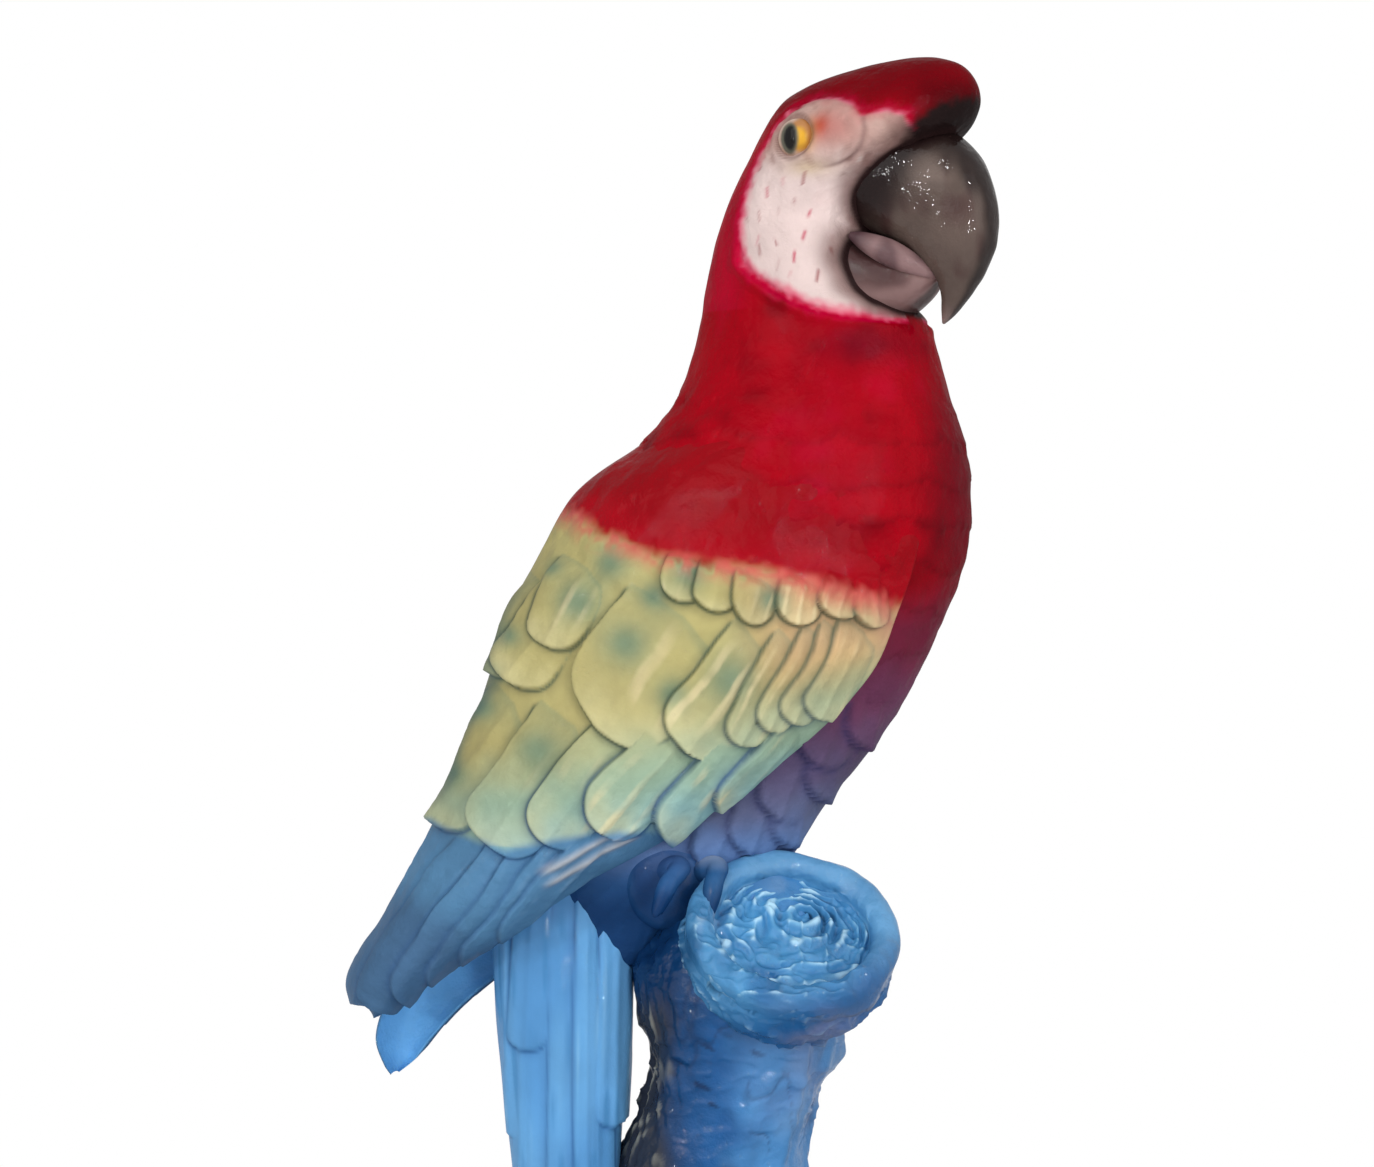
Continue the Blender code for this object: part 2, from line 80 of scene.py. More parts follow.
softbox("window_left", (-1.2, -2.1, 1.4), 22, 2.4, (1, 0.99, 0.97))
softbox("window_right", (1.7, -1.4, 0.9), 9, 2.0, (0.96, 0.98, 1))
softbox("back_light", (0.3, 1.8, 1.3), 4, 1.6, (1, 1, 1))
for number, spot in enumerate(SPARK_PLACES):
    softbox("spark_" + str(number + 1), spot, SPARK_WATTS, SPARK_SIZE, (1, 1, 1))


def seen_or_mirrored(tree):
    """1 for what the camera sees straight, in a reflection or through something, 0 for the rest."""
    ray = tree.nodes.new("ShaderNodeLightPath")
    first = tree.nodes.new("ShaderNodeMath")
    first.operation = "MAXIMUM"
    second = tree.nodes.new("ShaderNodeMath")
    second.operation = "MAXIMUM"
    tree.links.new(ray.outputs["Is Camera Ray"], first.inputs[0])
    tree.links.new(ray.outputs["Is Glossy Ray"], first.inputs[1])
    tree.links.new(first.outputs[0], second.inputs[0])
    tree.links.new(ray.outputs["Is Transmission Ray"], second.inputs[1])
    return second.outputs[0]


world = bpy.data.worlds.new("studio")
bpy.context.scene.world = world
world.use_nodes = True
sky = world.node_tree
sky.nodes.clear()
room = sky.nodes.new("ShaderNodeBackground")
room.inputs["Color"].default_value = (0.86, 0.88, 0.9, 1)
room.inputs["Strength"].default_value = 0.36
white = sky.nodes.new("ShaderNodeBackground")
white.inputs["Color"].default_value = (1, 1, 1, 1)
white.inputs["Strength"].default_value = 1.0
choose = sky.nodes.new("ShaderNodeMixShader")
out = sky.nodes.new("ShaderNodeOutputWorld")
sky.links.new(seen_or_mirrored(sky), choose.inputs[0])
sky.links.new(room.outputs[0], choose.inputs[1])
sky.links.new(white.outputs[0], choose.inputs[2])
sky.links.new(choose.outputs[0], out.inputs[0])

floor_form = bmesh.new()
bmesh.ops.create_grid(floor_form, x_segments=8, y_segments=8, size=FLOOR_SIZE)
floor_mesh = bpy.data.meshes.new("floor")
floor_form.to_mesh(floor_mesh)
floor_form.free()
floor = bpy.data.objects.new("floor", floor_mesh)
bpy.context.scene.collection.objects.link(floor)
floor_paint = bpy.data.materials.new("floor_paint")
floor_paint.use_nodes = True
tree = floor_paint.node_tree
tree.nodes.clear()
place = tree.nodes.new("ShaderNodeTexCoord")
reach = tree.nodes.new("ShaderNodeVectorMath")
reach.operation = "LENGTH"
fade = tree.nodes.new("ShaderNodeMapRange")
fade.interpolation_type = "SMOOTHSTEP"
fade.inputs["From Min"].default_value = FLOOR_FADE_FROM
fade.inputs["From Max"].default_value = FLOOR_FADE_TO
matt = tree.nodes.new("ShaderNodeBsdfDiffuse")
matt.inputs["Color"].default_value = (0.86, 0.86, 0.86, 1)
glow = tree.nodes.new("ShaderNodeEmission")
glow.inputs["Strength"].default_value = 1.0
both = tree.nodes.new("ShaderNodeMath")
both.operation = "MULTIPLY"
choose = tree.nodes.new("ShaderNodeMixShader")
out = tree.nodes.new("ShaderNodeOutputMaterial")
tree.links.new(place.outputs["Object"], reach.inputs[0])
tree.links.new(reach.outputs["Value"], fade.inputs["Value"])
tree.links.new(fade.outputs["Result"], both.inputs[0])
tree.links.new(seen_or_mirrored(tree), both.inputs[1])
tree.links.new(both.outputs[0], choose.inputs[0])
tree.links.new(matt.outputs[0], choose.inputs[1])
tree.links.new(glow.outputs[0], choose.inputs[2])
tree.links.new(choose.outputs[0], out.inputs[0])
floor_mesh.materials.append(floor_paint)

# The beak: two horn-grey shells of clay at the front of the turned head, the upper one hooked over
# the lower, with a rolled pinkish edge along the mouth. Cast with the head and glazed.
HEAD_TURN = math.radians(28.0)
HEAD_AXIS = 24.0
BEAK_POINTS = 120
# Rows from root to tip: the outer edge's place forward and height, the inner edge's, and half the width
UPPER_BEAK = (
    (30, 386, 12, 364, 14), (42, 385.5, 16.5, 359.5, 13.3), (50.5, 379.5, 22.5, 356.5, 13),
    (55.3, 370.8, 28.5, 354, 12.2), (57.5, 361.8, 33.5, 350.5, 11), (57, 353, 37.5, 346.8, 9),
    (54, 345.5, 40.5, 343.2, 6.6), (49.2, 338.2, 41.8, 339, 4.4), (45.2, 333.4, 41.7, 334.6, 2.5),
    (42.6, 331.3, 41.6, 331.7, 0.9), (42.0, 331.0, 41.7, 331.1, 0.25),
)
LOWER_BEAK = (
    (4, 350, 8, 364, 14), (9, 340.5, 14, 360, 14), (15, 334.8, 21, 356, 13.6), (23, 332.8, 29, 352, 12.4),
    (31, 334, 35, 348.5, 10), (37, 338.4, 39, 345.5, 6.6), (40.2, 342.4, 41, 344.2, 2.4),
    (41, 343.2, 41.2, 343.7, 0.5),
)
ROLL_POINTS = 36
# Forward, aside, height and thickness
MOUTH_ROLL = ((19, 13, 356, 0.8), (22, 12.4, 354.6, 2.0), (26, 11.2, 352.6, 2.9), (30, 9.8, 350.6, 3.3),
              (34.5, 7.4, 348, 2.9), (38.5, 4.8, 345.6, 1.8), (41, 2, 344.2, 0.7))


def curve_rows(rows, steps):
    """Rows on a smooth curve through the given ones, so many steps to a span."""
    rows = np.array(rows, float)
    padded = np.vstack([2 * rows[0] - rows[1], rows, 2 * rows[-1] - rows[-2]])
    t = (np.arange(steps) / steps)[:, None]
    spans = []
    for span in range(len(rows) - 1):
        before, start, end, after = padded[span:span + 4]
        bend = 2 * before - 5 * start + 4 * end - after
        twist = 3 * start - before - 3 * end + after
        spans.append(0.5 * (2 * start + (end - before) * t + bend * t ** 2 + twist * t ** 3))
    return np.vstack(spans + [rows[-1:]])


def oval_rings(centres, forwards, sides, points, squareness):
    """Rings of places from arrays of centres and of two half axes."""
    turn = 2 * np.pi * np.arange(points) / points
    along = np.sign(np.cos(turn)) * np.abs(np.cos(turn)) ** (2 / squareness)
    across = np.sign(np.sin(turn)) * np.abs(np.sin(turn)) ** (2 / squareness)
    return (centres[:, None, :] + forwards[:, None, :] * along[None, :, None]
            + sides[:, None, :] * across[None, :, None])


def on_head(forward, side, height):
    """Places on the turned head, from the head's own axis."""
    forward, side, height = np.broadcast_arrays(np.asarray(forward, float), side, height)
    return np.stack([HEAD_AXIS + forward * math.cos(HEAD_TURN) + side * math.sin(HEAD_TURN),
                     -forward * math.sin(HEAD_TURN) + side * math.cos(HEAD_TURN), height], axis=-1)


def from_head(places):
    """How far forward and to the side of the head's axis places are."""
    x, y = places[..., 0] - HEAD_AXIS, places[..., 1]
    return (x * math.cos(HEAD_TURN) - y * math.sin(HEAD_TURN),
            x * math.sin(HEAD_TURN) + y * math.cos(HEAD_TURN))


def ring_normals(places):
    """The outward direction at every place of a skin given as rings."""
    around = np.roll(places, -1, axis=1) - np.roll(places, 1, axis=1)
    along = np.gradient(places, axis=0)
    out = np.cross(around, along)
    out /= np.maximum(np.linalg.norm(out, axis=-1, keepdims=True), 1e-9)
    middle = places.mean(axis=1, keepdims=True)
    if np.sum(out * (places - middle)) < 0:
        out = -out
    return out


def lattice_noise(places, size, seed):
    """Smooth random values from -1 to 1, with lumps of this size in millimetres."""
    table = np.random.RandomState(seed).rand(32, 32, 32) * 2 - 1
    spot = places / size
    low = np.floor(spot).astype(int)
    part = spot - low
    part = part * part * (3 - 2 * part)
    weights = np.stack([1 - part, part])
    cells = np.stack([low, low + 1]) % 32
    total = 0
    for dx in (0, 1):
        for dy in (0, 1):
            for dz in (0, 1):
                share = weights[dx, ..., 0] * weights[dy, ..., 1] * weights[dz, ..., 2]
                total = total + share * table[cells[dx, ..., 0], cells[dy, ..., 1], cells[dz, ..., 2]]
    return total


def skin(name, places, marks):
    """A closed skin through rings of places; every mark is kept as a value at each corner."""
    rings, around = places.shape[:2]
    shape = bmesh.new()
    bmesh.ops.create_grid(shape, x_segments=around, y_segments=rings - 1, size=1)
    flat = np.array([corner.co[:2] for corner in shape.verts])
    column = np.rint((flat[:, 0] + 1) / 2 * around).astype(int) % around
    row = np.rint((flat[:, 1] + 1) / 2 * (rings - 1)).astype(int)
    layers = [(shape.verts.layers.float.new(mark), values[row, column]) for mark, values in marks.items()]
    spots = places[row, column] * MM
    for index, corner in enumerate(shape.verts):
        corner.co = spots[index]
        for layer, values in layers:
            corner[layer] = values[index]
    bmesh.ops.remove_doubles(shape, verts=shape.verts, dist=1e-7)
    bmesh.ops.holes_fill(shape, edges=[edge for edge in shape.edges if edge.is_boundary], sides=0)
    bmesh.ops.recalc_face_normals(shape, faces=shape.faces)
    mesh = bpy.data.meshes.new(name)
    shape.to_mesh(mesh)
    shape.free()
    mesh.shade_smooth()
    piece = bpy.data.objects.new(name, mesh)
    bpy.context.scene.collection.objects.link(piece)
    return piece


def corners(piece):
    """The places of a piece's corners, in millimetres."""
    flat = np.empty(len(piece.data.vertices) * 3)
    piece.data.vertices.foreach_get("co", flat)
    return flat.reshape(-1, 3) / MM


def mark_values(piece, mark):
    """One mark's value at each corner of a piece."""
    values = np.empty(len(piece.data.vertices))
    piece.data.attributes[mark].data.foreach_get("value", values)
    return values


def glaze_colour(red, green, blue):
    """A colour as it looks, 0 to 255, as a shader counts it."""
    shown = np.array([red, green, blue]) / 255
    return np.where(shown <= 0.04045, shown / 12.92, ((shown + 0.055) / 1.055) ** 2.4)


def brush(colours, colour, amount):
    """Lays a colour over the others, as strongly as the amount says at each corner."""
    amount = np.clip(amount, 0, 1)[:, None]
    colours[:] = colours * (1 - amount) + colour * amount


def step(values, low, high):
    """Rises smoothly from 0 at the low value to 1 at the high one."""
    t = np.clip((values - low) / (high - low), 0, 1)
    return t * t * (3 - 2 * t)


def give_paint(piece, colours):
    """Keeps the colours on the piece, where its glaze reads them."""
    layer = piece.data.color_attributes.new("paint", "FLOAT_COLOR", "POINT")
    flat = np.ones((len(piece.data.vertices), 4))
    flat[:, :3] = np.clip(colours, 0, 1)
    layer.data.foreach_set("color", flat.ravel())


def glaze(name, mottle, ripple, roughness, shine):
    """Hand-painted colour under a thick, clear, slightly rippled glaze."""
    material = bpy.data.materials.new(name)
    material.use_nodes = True
    nodes, links = material.node_tree.nodes, material.node_tree.links
    shader = nodes["Principled BSDF"]
    paint = nodes.new("ShaderNodeAttribute")
    paint.attribute_name = "paint"
    place = nodes.new("ShaderNodeTexCoord")
    cloud = nodes.new("ShaderNodeTexNoise")
    cloud.inputs["Scale"].default_value = 60
    cloud.inputs["Detail"].default_value = 5
    links.new(place.outputs["Object"], cloud.inputs["Vector"])
    shade = nodes.new("ShaderNodeMapRange")
    shade.inputs["From Min"].default_value = 0.3
    shade.inputs["From Max"].default_value = 0.7
    shade.inputs["To Min"].default_value = 1 - mottle
    shade.inputs["To Max"].default_value = 1 + mottle
    links.new(cloud.outputs["Fac"], shade.inputs["Value"])
    tint = nodes.new("ShaderNodeVectorMath")
    tint.operation = "SCALE"
    links.new(paint.outputs["Color"], tint.inputs[0])
    links.new(shade.outputs["Result"], tint.inputs["Scale"])
    links.new(tint.outputs["Vector"], shader.inputs["Base Color"])
    swell = nodes.new("ShaderNodeTexNoise")
    swell.inputs["Scale"].default_value = 150
    swell.inputs["Detail"].default_value = 4
    swell.inputs["Roughness"].default_value = 0.6
    links.new(place.outputs["Object"], swell.inputs["Vector"])
    bump = nodes.new("ShaderNodeBump")
    bump.inputs["Strength"].default_value = ripple
    bump.inputs["Distance"].default_value = 0.0012
    links.new(swell.outputs["Fac"], bump.inputs["Height"])
    links.new(bump.outputs["Normal"], shader.inputs["Normal"])
    links.new(bump.outputs["Normal"], shader.inputs["Coat Normal"])
    shader.inputs["Roughness"].default_value = roughness
    shader.inputs["Specular IOR Level"].default_value = 0
    shader.inputs["Coat Weight"].default_value = shine
    shader.inputs["Coat Roughness"].default_value = 0.025
    return material


def finish_piece(piece, colours, material):
    """Paints a piece and fixes it in the place of the cast figure."""
    give_paint(piece, colours)
    piece.data.materials.append(material)
    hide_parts("parrot_figurine")
    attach(piece, "root")


def beak_shell(name, table, squareness):
    """One half of the beak, from its root on the face to its tip."""
    rows = curve_rows(table, 14)
    outer = on_head(rows[:, 0], 0, rows[:, 1])
    inner = on_head(rows[:, 2], 0, rows[:, 3])
    side = (on_head(0, 1, 0) - on_head(0, 0, 0))[None, :] * rows[:, 4:5]
    places = oval_rings((outer + inner) / 2, (outer - inner) / 2, side, BEAK_POINTS, squareness)
    run = np.repeat(np.linspace(0, 1, len(rows))[:, None], BEAK_POINTS, 1)
    ridge = np.repeat(np.cos(2 * np.pi * np.arange(BEAK_POINTS) / BEAK_POINTS)[None, :], len(rows), 0)
    out = ring_normals(places)
    swell = 0.35 * lattice_noise(places, 9, 3) + 0.15 * lattice_noise(places, 4, 4)
    swell = swell * np.minimum(rows[:, 4:5] / 6, 1)
    return skin(name, places + out * swell[..., None], {"run": run, "ridge": ridge})


HORN = glaze_colour(88, 74, 68)
HORN_PALE = glaze_colour(122, 106, 98)
HORN_DARK = glaze_colour(28, 17, 17)
HORN_BROWN = glaze_colour(64, 40, 40)
LIP_PINK = glaze_colour(132, 104, 104)
LIP_DARK = glaze_colour(62, 42, 48)
horn_glaze = glaze("horn_glaze", 0.16, 0.5, 0.3, 0.32)

upper_beak = beak_shell("upper_beak", UPPER_BEAK, 2.3)
spots = corners(upper_beak)
run, ridge = mark_values(upper_beak, "run"), mark_values(upper_beak, "ridge")
colours = np.tile(HORN, (len(spots), 1))
cloud = lattice_noise(spots, 11, 5)
streak = lattice_noise(spots * np.array([1, 1, 0.3]), 3.2, 8)
brush(colours, HORN_PALE, 0.35 * step(cloud + 0.3 * streak, 0.1, 0.8))
brush(colours, HORN_BROWN, 0.55 * step(-cloud + 0.5 * streak, 0.25, 0.9))
brush(colours, HORN_BROWN, 0.4 * step(streak, 0.45, 0.8))
brush(colours, glaze_colour(132, 114, 110), 0.85 * step(run, 0.7, 0.9))
spine = step(ridge + 0.2 * cloud + 0.1 * streak, 0.66, 1.0)
brush(colours, HORN_DARK, 0.85 * spine * (1 - step(run, 0.75, 1)))
brush(colours, HORN_DARK, 1 - step(run + 0.05 * cloud, 0.1, 0.27))
brush(colours, HORN_BROWN, 0.8 * step(-ridge + 0.1 * cloud, 0.86, 1.0) * (1 - step(run, 0.8, 1)))
finish_piece(upper_beak, colours, horn_glaze)

lower_beak = beak_shell("lower_beak", LOWER_BEAK, 2.2)
spots = corners(lower_beak)
run, ridge = mark_values(lower_beak, "run"), mark_values(lower_beak, "ridge")
colours = np.tile(glaze_colour(130, 102, 100), (len(spots), 1))
cloud = lattice_noise(spots, 8, 6)
brush(colours, HORN_BROWN, 0.5 * step(cloud, 0.0, 0.7))
brush(colours, HORN_BROWN, 1 - step(run + 0.05 * cloud, 0.16, 0.4))
brush(colours, HORN_BROWN, 0.85 * step(-ridge + 0.2 * cloud, -0.35, 0.4) * (1 - step(run, 0.45, 0.7)))
brush(colours, HORN_DARK, 0.9 * step(-ridge, 0.35, 0.8))
brush(colours, HORN_DARK, 0.6 * step(ridge, 0.75, 1))
brush(colours, HORN_DARK, 0.8 * step(run, 0.86, 0.98))
finish_piece(lower_beak, colours, horn_glaze)


def mouth_roll(name, side):
    """The soft edge along one side of the open mouth."""
    rows = curve_rows(MOUTH_ROLL, 12)
    path = on_head(rows[:, 0], side * rows[:, 1], rows[:, 2])
    along = np.gradient(path, axis=0)
    along /= np.linalg.norm(along, axis=1, keepdims=True)
    across = np.cross(along, np.array([0.2, 0.1, 0.97]))
    across /= np.linalg.norm(across, axis=1, keepdims=True)
    up = np.cross(along, across)
    places = oval_rings(path, across * rows[:, 3:4], up * rows[:, 3:4] * 1.15, ROLL_POINTS, 2)
    run = np.repeat(np.linspace(0, 1, len(rows))[:, None], ROLL_POINTS, 1)
    return skin(name, places, {"run": run})


for name, side in (("mouth_roll_near", -1), ("mouth_roll_far", 1)):
    roll = mouth_roll(name, side)
    spots = corners(roll)
    colours = np.tile(LIP_PINK, (len(spots), 1))
    brush(colours, LIP_DARK, 0.9 - step(mark_values(roll, "run"), 0.1, 0.4))
    brush(colours, LIP_DARK, 0.6 * step(lattice_noise(spots, 5, 7), 0.1, 0.7))
    finish_piece(roll, colours, horn_glaze)

# The eyes: low domes of clay pressed into the bare skin on both sides of the head, painted with a dark
# pupil and a golden iris, and glazed with the rest.
EYE_FORWARD = 7.4
EYE_HEIGHT = 382.6
EYE_SIDE = 22.2
EYE_RADIUS = 5.6
eye_glaze = glaze("eye_glaze", 0.1, 0.12, 0.15, 0.4)
for name, side in (("eye_near", -1), ("eye_far", 1)):
    shape = bmesh.new()
    centre = Vector(on_head(EYE_FORWARD, side * EYE_SIDE, EYE_HEIGHT))
    turn = Matrix.Translation(centre) @ Matrix.Rotation(-HEAD_TURN, 4, "Z") @ Matrix.Diagonal((1, 0.8, 1, 1))
    bmesh.ops.create_uvsphere(shape, u_segments=64, v_segments=40, radius=EYE_RADIUS, matrix=turn)
    bmesh.ops.scale(shape, vec=(MM, MM, MM), verts=shape.verts)
    mesh = bpy.data.meshes.new(name)
    shape.to_mesh(mesh)
    shape.free()
    mesh.shade_smooth()
    eye = bpy.data.objects.new(name, mesh)
    bpy.context.scene.collection.objects.link(eye)
    spots = corners(eye)
    forward, aside = from_head(spots)
    along = forward - EYE_FORWARD
    up = spots[:, 2] - EYE_HEIGHT
    colours = np.tile(glaze_colour(196, 164, 146), (len(spots), 1))
    cloud = lattice_noise(spots, 2.4, 9)
    gold = np.hypot((along - 2.2) / 3.1, (up - 0.4) / 4.3) + 0.14 * cloud
    brush(colours, glaze_colour(176, 118, 60), 0.9 - 0.9 * step(gold, 0.95, 1.3))
    brush(colours, glaze_colour(212, 158, 44), 1 - step(gold + 0.08 * up, 0.5, 1.0))
    brush(colours, glaze_colour(122, 74, 28), 0.5 * step(cloud, 0.1, 0.8) * (1 - step(gold, 0.7, 1.1)))
    ring = np.hypot((along + 0.7) / 3.0, (up + 0.3) / 4.7) + 0.05 * cloud
    brush(colours, glaze_colour(94, 92, 78), 1 - step(ring, 0.82, 1.08))
    pupil = np.hypot((along + 0.4) / 2.0, (up + 0.2) / 3.7) + 0.04 * cloud
    brush(colours, glaze_colour(15, 13, 12), 1 - step(pupil, 0.78, 1.12))
    finish_piece(eye, colours, eye_glaze)

# The folded wings: shells of clay that lean against the flanks, with four rows of overlapping
# feathers carved in low relief, the long primaries running out to a free tip. Yellow fading to blue.
# Rows down the wing: height, rear edge, front edge, distance from the middle, and the inner side's share
WING = (
    (312, -11, 38, 27, 0.1), (300, -21, 48, 35, 0.1), (285, -41.5, 54, 40.5, 0.1),
    (267, -52.5, 53, 43.5, 0.1), (250, -60.8, 47.5, 44.5, 0.1), (233, -66.6, 40, 43.5, 0.1),
    (215, -72.4, 23, 42.5, 0.15), (200, -78.2, 3, 40.5, 0.25), (187, -84.5, -17, 38, 0.4),
    (175, -89, -39, 34, 0.5), (163, -95, -60, 28, 0.58), (153, -101, -77, 23, 0.62),
    (145, -104, -87.5, 19, 0.66), (139, -102, -94, 16, 0.72), (136, -100, -98, 14, 0.8),
)
WING_CREST = 0.1
REAR_WRAP = 1.12
LEAD_WRAP = 1.25
FAR_WING_DROP = 18.0
WING_SPLIT = 235
WING_SPLIT_LENGTH = 95
FEATHER_STEP = 2.9
FEATHER_CROWN = 0.9
FEATHER_TILT = 1.6
FEATHER_LIFT = -0.3
ROOT_SINK = 1.0
OUTER_POINTS = 205
INNER_POINTS = 26
# Feathers: the tip's place and height, the root's, and half the width
PRIMARIES = (
    (-103, 141, -74, 196, 6.5), (-98, 140, -64, 194, 6), (-91, 141.5, -55, 192, 6), (-83, 146, -45, 192, 6),
    (-74, 152, -36, 192, 6), (-63, 159, -27, 194, 6.5),
)
GREAT_COVERTS = (
    (-82, 189, -55, 232, 9), (-65, 183, -38, 226, 11.5), (-50.5, 186, -24, 222, 9), (-36, 190, -8, 220, 9.5),
    (-17.5, 186.5, 12, 217, 9), (-1.5, 194, 26, 220, 6.5),
)
MIDDLE_COVERTS = (
    (-67.5, 232, -48, 262, 8), (-61, 229, -40, 262, 9), (-34, 215.5, -8, 256, 18),
    (-12.5, 210, 16, 246, 12.5), (2.5, 213, 24, 247, 7), (11, 217, 31, 248, 6), (18, 219, 37, 249, 6),
    (25, 220, 43, 250, 7),
)
SMALL_COVERTS = (
    (-50, 240, -38, 268, 8), (-13.5, 253, -9, 268, 6.5), (-5, 250, 0, 266, 6),
    (5.5, 247, 11, 263, 7), (20, 246.5, 24, 262, 7.5), (32, 248.5, 36, 262, 6.5), (42, 246, 43, 262, 5.5),
)


def lay_feather(relief, x, height, tip, root, half_width, lift, rise, tilt, number, line=0.55):
    """Lays one round-tipped feather over what is there, with a dark line at its edge: painted shade of the
    step, where the glaze also pools.
    """
    tip, root = np.array(tip, float), np.array(root, float)
    length = np.linalg.norm(tip - root)
    along = (tip - root) / length
    reach = (x - root[0]) * along[0] + (height - root[1]) * along[1]
    aside = (x - root[0]) * along[1] - (height - root[1]) * along[0]
    round_part = min(half_width * 1.1, length * 0.5)
    beyond = np.maximum(reach - (length - round_part), 0) / round_part
    share = aside / half_width
    inside = (1 - np.sqrt(share ** 2 + beyond ** 2.4)) * half_width
    inside = np.minimum(inside, reach + 1)
    run = np.clip(reach / length, 0, 1)
    share = np.clip(share, -1, 1)
    groove = np.cos(share * math.pi * 3) * min(half_width / 9, 1)
    top = lift + rise * run + FEATHER_CROWN * (1 - 0.35 * share ** 2) + tilt * share
    top = (top + ROOT_SINK) * step(run, 0, 0.4) - ROOT_SINK
    top = top + (0.16 * groove + 0.3 * np.exp(-(aside / 0.8) ** 2)) * step(run, 0.1, 0.4)
    proud = step(top - relief["rise"], -0.3, 0.5)
    cover = step(inside, -0.35, 0.45) * proud
    # The dark line at the edge and the soft halo beyond it are painted shade of the step, together with the
    # glaze that pools there.
    edge = np.exp(-((inside + 0.3) / line) ** 2) * step(top - relief["rise"], 0.1, 0.9)
    glaze_pool_and_shade = np.exp(-(np.minimum(inside, 0) / 2.2) ** 2) * (inside < 0) * step(top - relief["rise"], 0.1, 1.2)
    relief["rise"] = relief["rise"] * (1 - cover) + top * cover
    relief["crease"] = np.maximum(relief["crease"] * (1 - cover), edge * (1 - cover * 0.4))
    relief["glaze_pool_and_shade"] = np.maximum(relief["glaze_pool_and_shade"] * (1 - cover), glaze_pool_and_shade * 0.8 * (1 - cover))
    relief["ridge"] = relief["ridge"] * (1 - cover) + groove * cover
    tone = math.sin(number * 12.9898) * 43758.5453 % 1
    relief["tone"] = relief["tone"] * (1 - cover) + (tone * 2 - 1) * cover
    relief["run"] = relief["run"] * (1 - cover) + run * cover


def blank_relief(x):
    """A smooth surface, before any feather is laid."""
    return {mark: np.zeros(x.shape) for mark in ("rise", "crease", "glaze_pool_and_shade", "ridge", "tone", "run")}


rows = curve_rows(WING, 28)
across = np.concatenate([np.linspace(-1, 1, OUTER_POINTS), np.linspace(1, -1, INNER_POINTS + 2)[1:-1]])
wrap = np.where(across < WING_CREST, REAR_WRAP, LEAD_WRAP)
bulge = np.sqrt(np.maximum(1 - ((across - WING_CREST) / wrap) ** 2, 0.02))
outer = (np.arange(len(across)) < OUTER_POINTS)[None, :]
x = (rows[:, 1:2] + rows[:, 2:3]) / 2 + across[None, :] * (rows[:, 2:3] - rows[:, 1:2]) / 2
distance = rows[:, 3:4] * bulge[None, :]
distance = np.where(outer, distance, distance * rows[:, 4:5])
height = np.repeat(rows[:, 0:1], len(across), 1)
near_places = np.stack([x, -distance, height], axis=-1)
relief = blank_relief(x)
wander_x = 1.4 * lattice_noise(near_places, 14, 23) + 0.2 * lattice_noise(near_places, 5, 24)
wander_z = 1.4 * lattice_noise(near_places, 13, 25) + 0.3 * lattice_noise(near_places, 5, 26)
number = 1
# A feather close to the camera looks further from the middle of the view than it is, by this spread
FEATHER_ROWS = ((PRIMARIES, 1.0), (GREAT_COVERTS, 1.02), (MIDDLE_COVERTS, 1.035), (SMALL_COVERTS, 1.035))
for feathers, spread in FEATHER_ROWS:
    warped_x = (x + wander_x - VIEW_X) * spread + VIEW_X
    warped_z = (height + wander_z - VIEW_HEIGHT) * spread + VIEW_HEIGHT
    for tip_x, tip_height, root_x, root_height, half_width in feathers:
        lay_feather(relief, warped_x, warped_z, (tip_x, tip_height), (root_x, root_height), half_width,
                    FEATHER_LIFT, FEATHER_STEP, FEATHER_TILT, number)
        number += 1
out = ring_normals(near_places)
barbs = 0.10 * lattice_noise(near_places @ np.array([[0.75, 0, 0.66], [0, 1, 0], [-0.66, 0, 0.75]])
                             * np.array([0.25, 0.25, 1.0]), 1.4, 21) * (relief["run"] > 0.05)
lumps = 0.35 * lattice_noise(near_places, 10, 22)
down_row = step(height, 250, 262) * (relief["run"] < 0.05)
fold = 1 - np.abs(lattice_noise(near_places, 7.5, 27)) * 2
lumps = lumps + down_row * (0.5 * lattice_noise(near_places, 4.5, 28) - 0.25 * np.clip(fold, 0, 1) ** 3)
# Two quills that lie along the lower edge of the primaries, raised a little and painted pale as a highlight
QUILL_X = -50.3
QUILL_HEIGHT = 179
QUILL_RUN = 0.909
QUILL_CLIMB = 0.417
pinions = []
for offset in (-1.6, 1.6):
    across_line = (x - QUILL_X) * QUILL_CLIMB - (height - QUILL_HEIGHT) * QUILL_RUN + offset
    along_line = (x - QUILL_X) * QUILL_RUN + (height - QUILL_HEIGHT) * QUILL_CLIMB
    ends = step(along_line, -3, 3) * (1 - step(along_line, 27, 33))
    pinions.append(np.exp(-(across_line / 0.9) ** 2) * ends)
relief["pale"] = sum(pinions)
lumps = lumps + 0.7 * relief["pale"]
edge_fade = step(1 - np.abs(across), 0, 0.03)[None, :] * outer
lifted = (np.maximum(relief["rise"], 0) + barbs + lumps) * (0.15 + 0.85 * edge_fade)
near_places = near_places + out * np.where(outer, lifted, 0)[..., None]
relief["inner"] = np.where(outer, 0.0, 1.0) + np.zeros(x.shape)
relief["flat_x"] = x
relief["flat_z"] = height
drop = np.clip((WING_SPLIT - near_places[..., 2]) / WING_SPLIT_LENGTH, 0, 1) ** 1.5
smooth_tip = step(height, 168, 186) * outer
plain_places = np.stack([x, -distance, height], axis=-1)
far_places = plain_places + (near_places - plain_places) * smooth_tip[..., None]
far_places = far_places * np.array([1, -1, 1])
far_places[..., 0] += 0.25 * FAR_WING_DROP * drop
far_places[..., 2] -= FAR_WING_DROP * drop

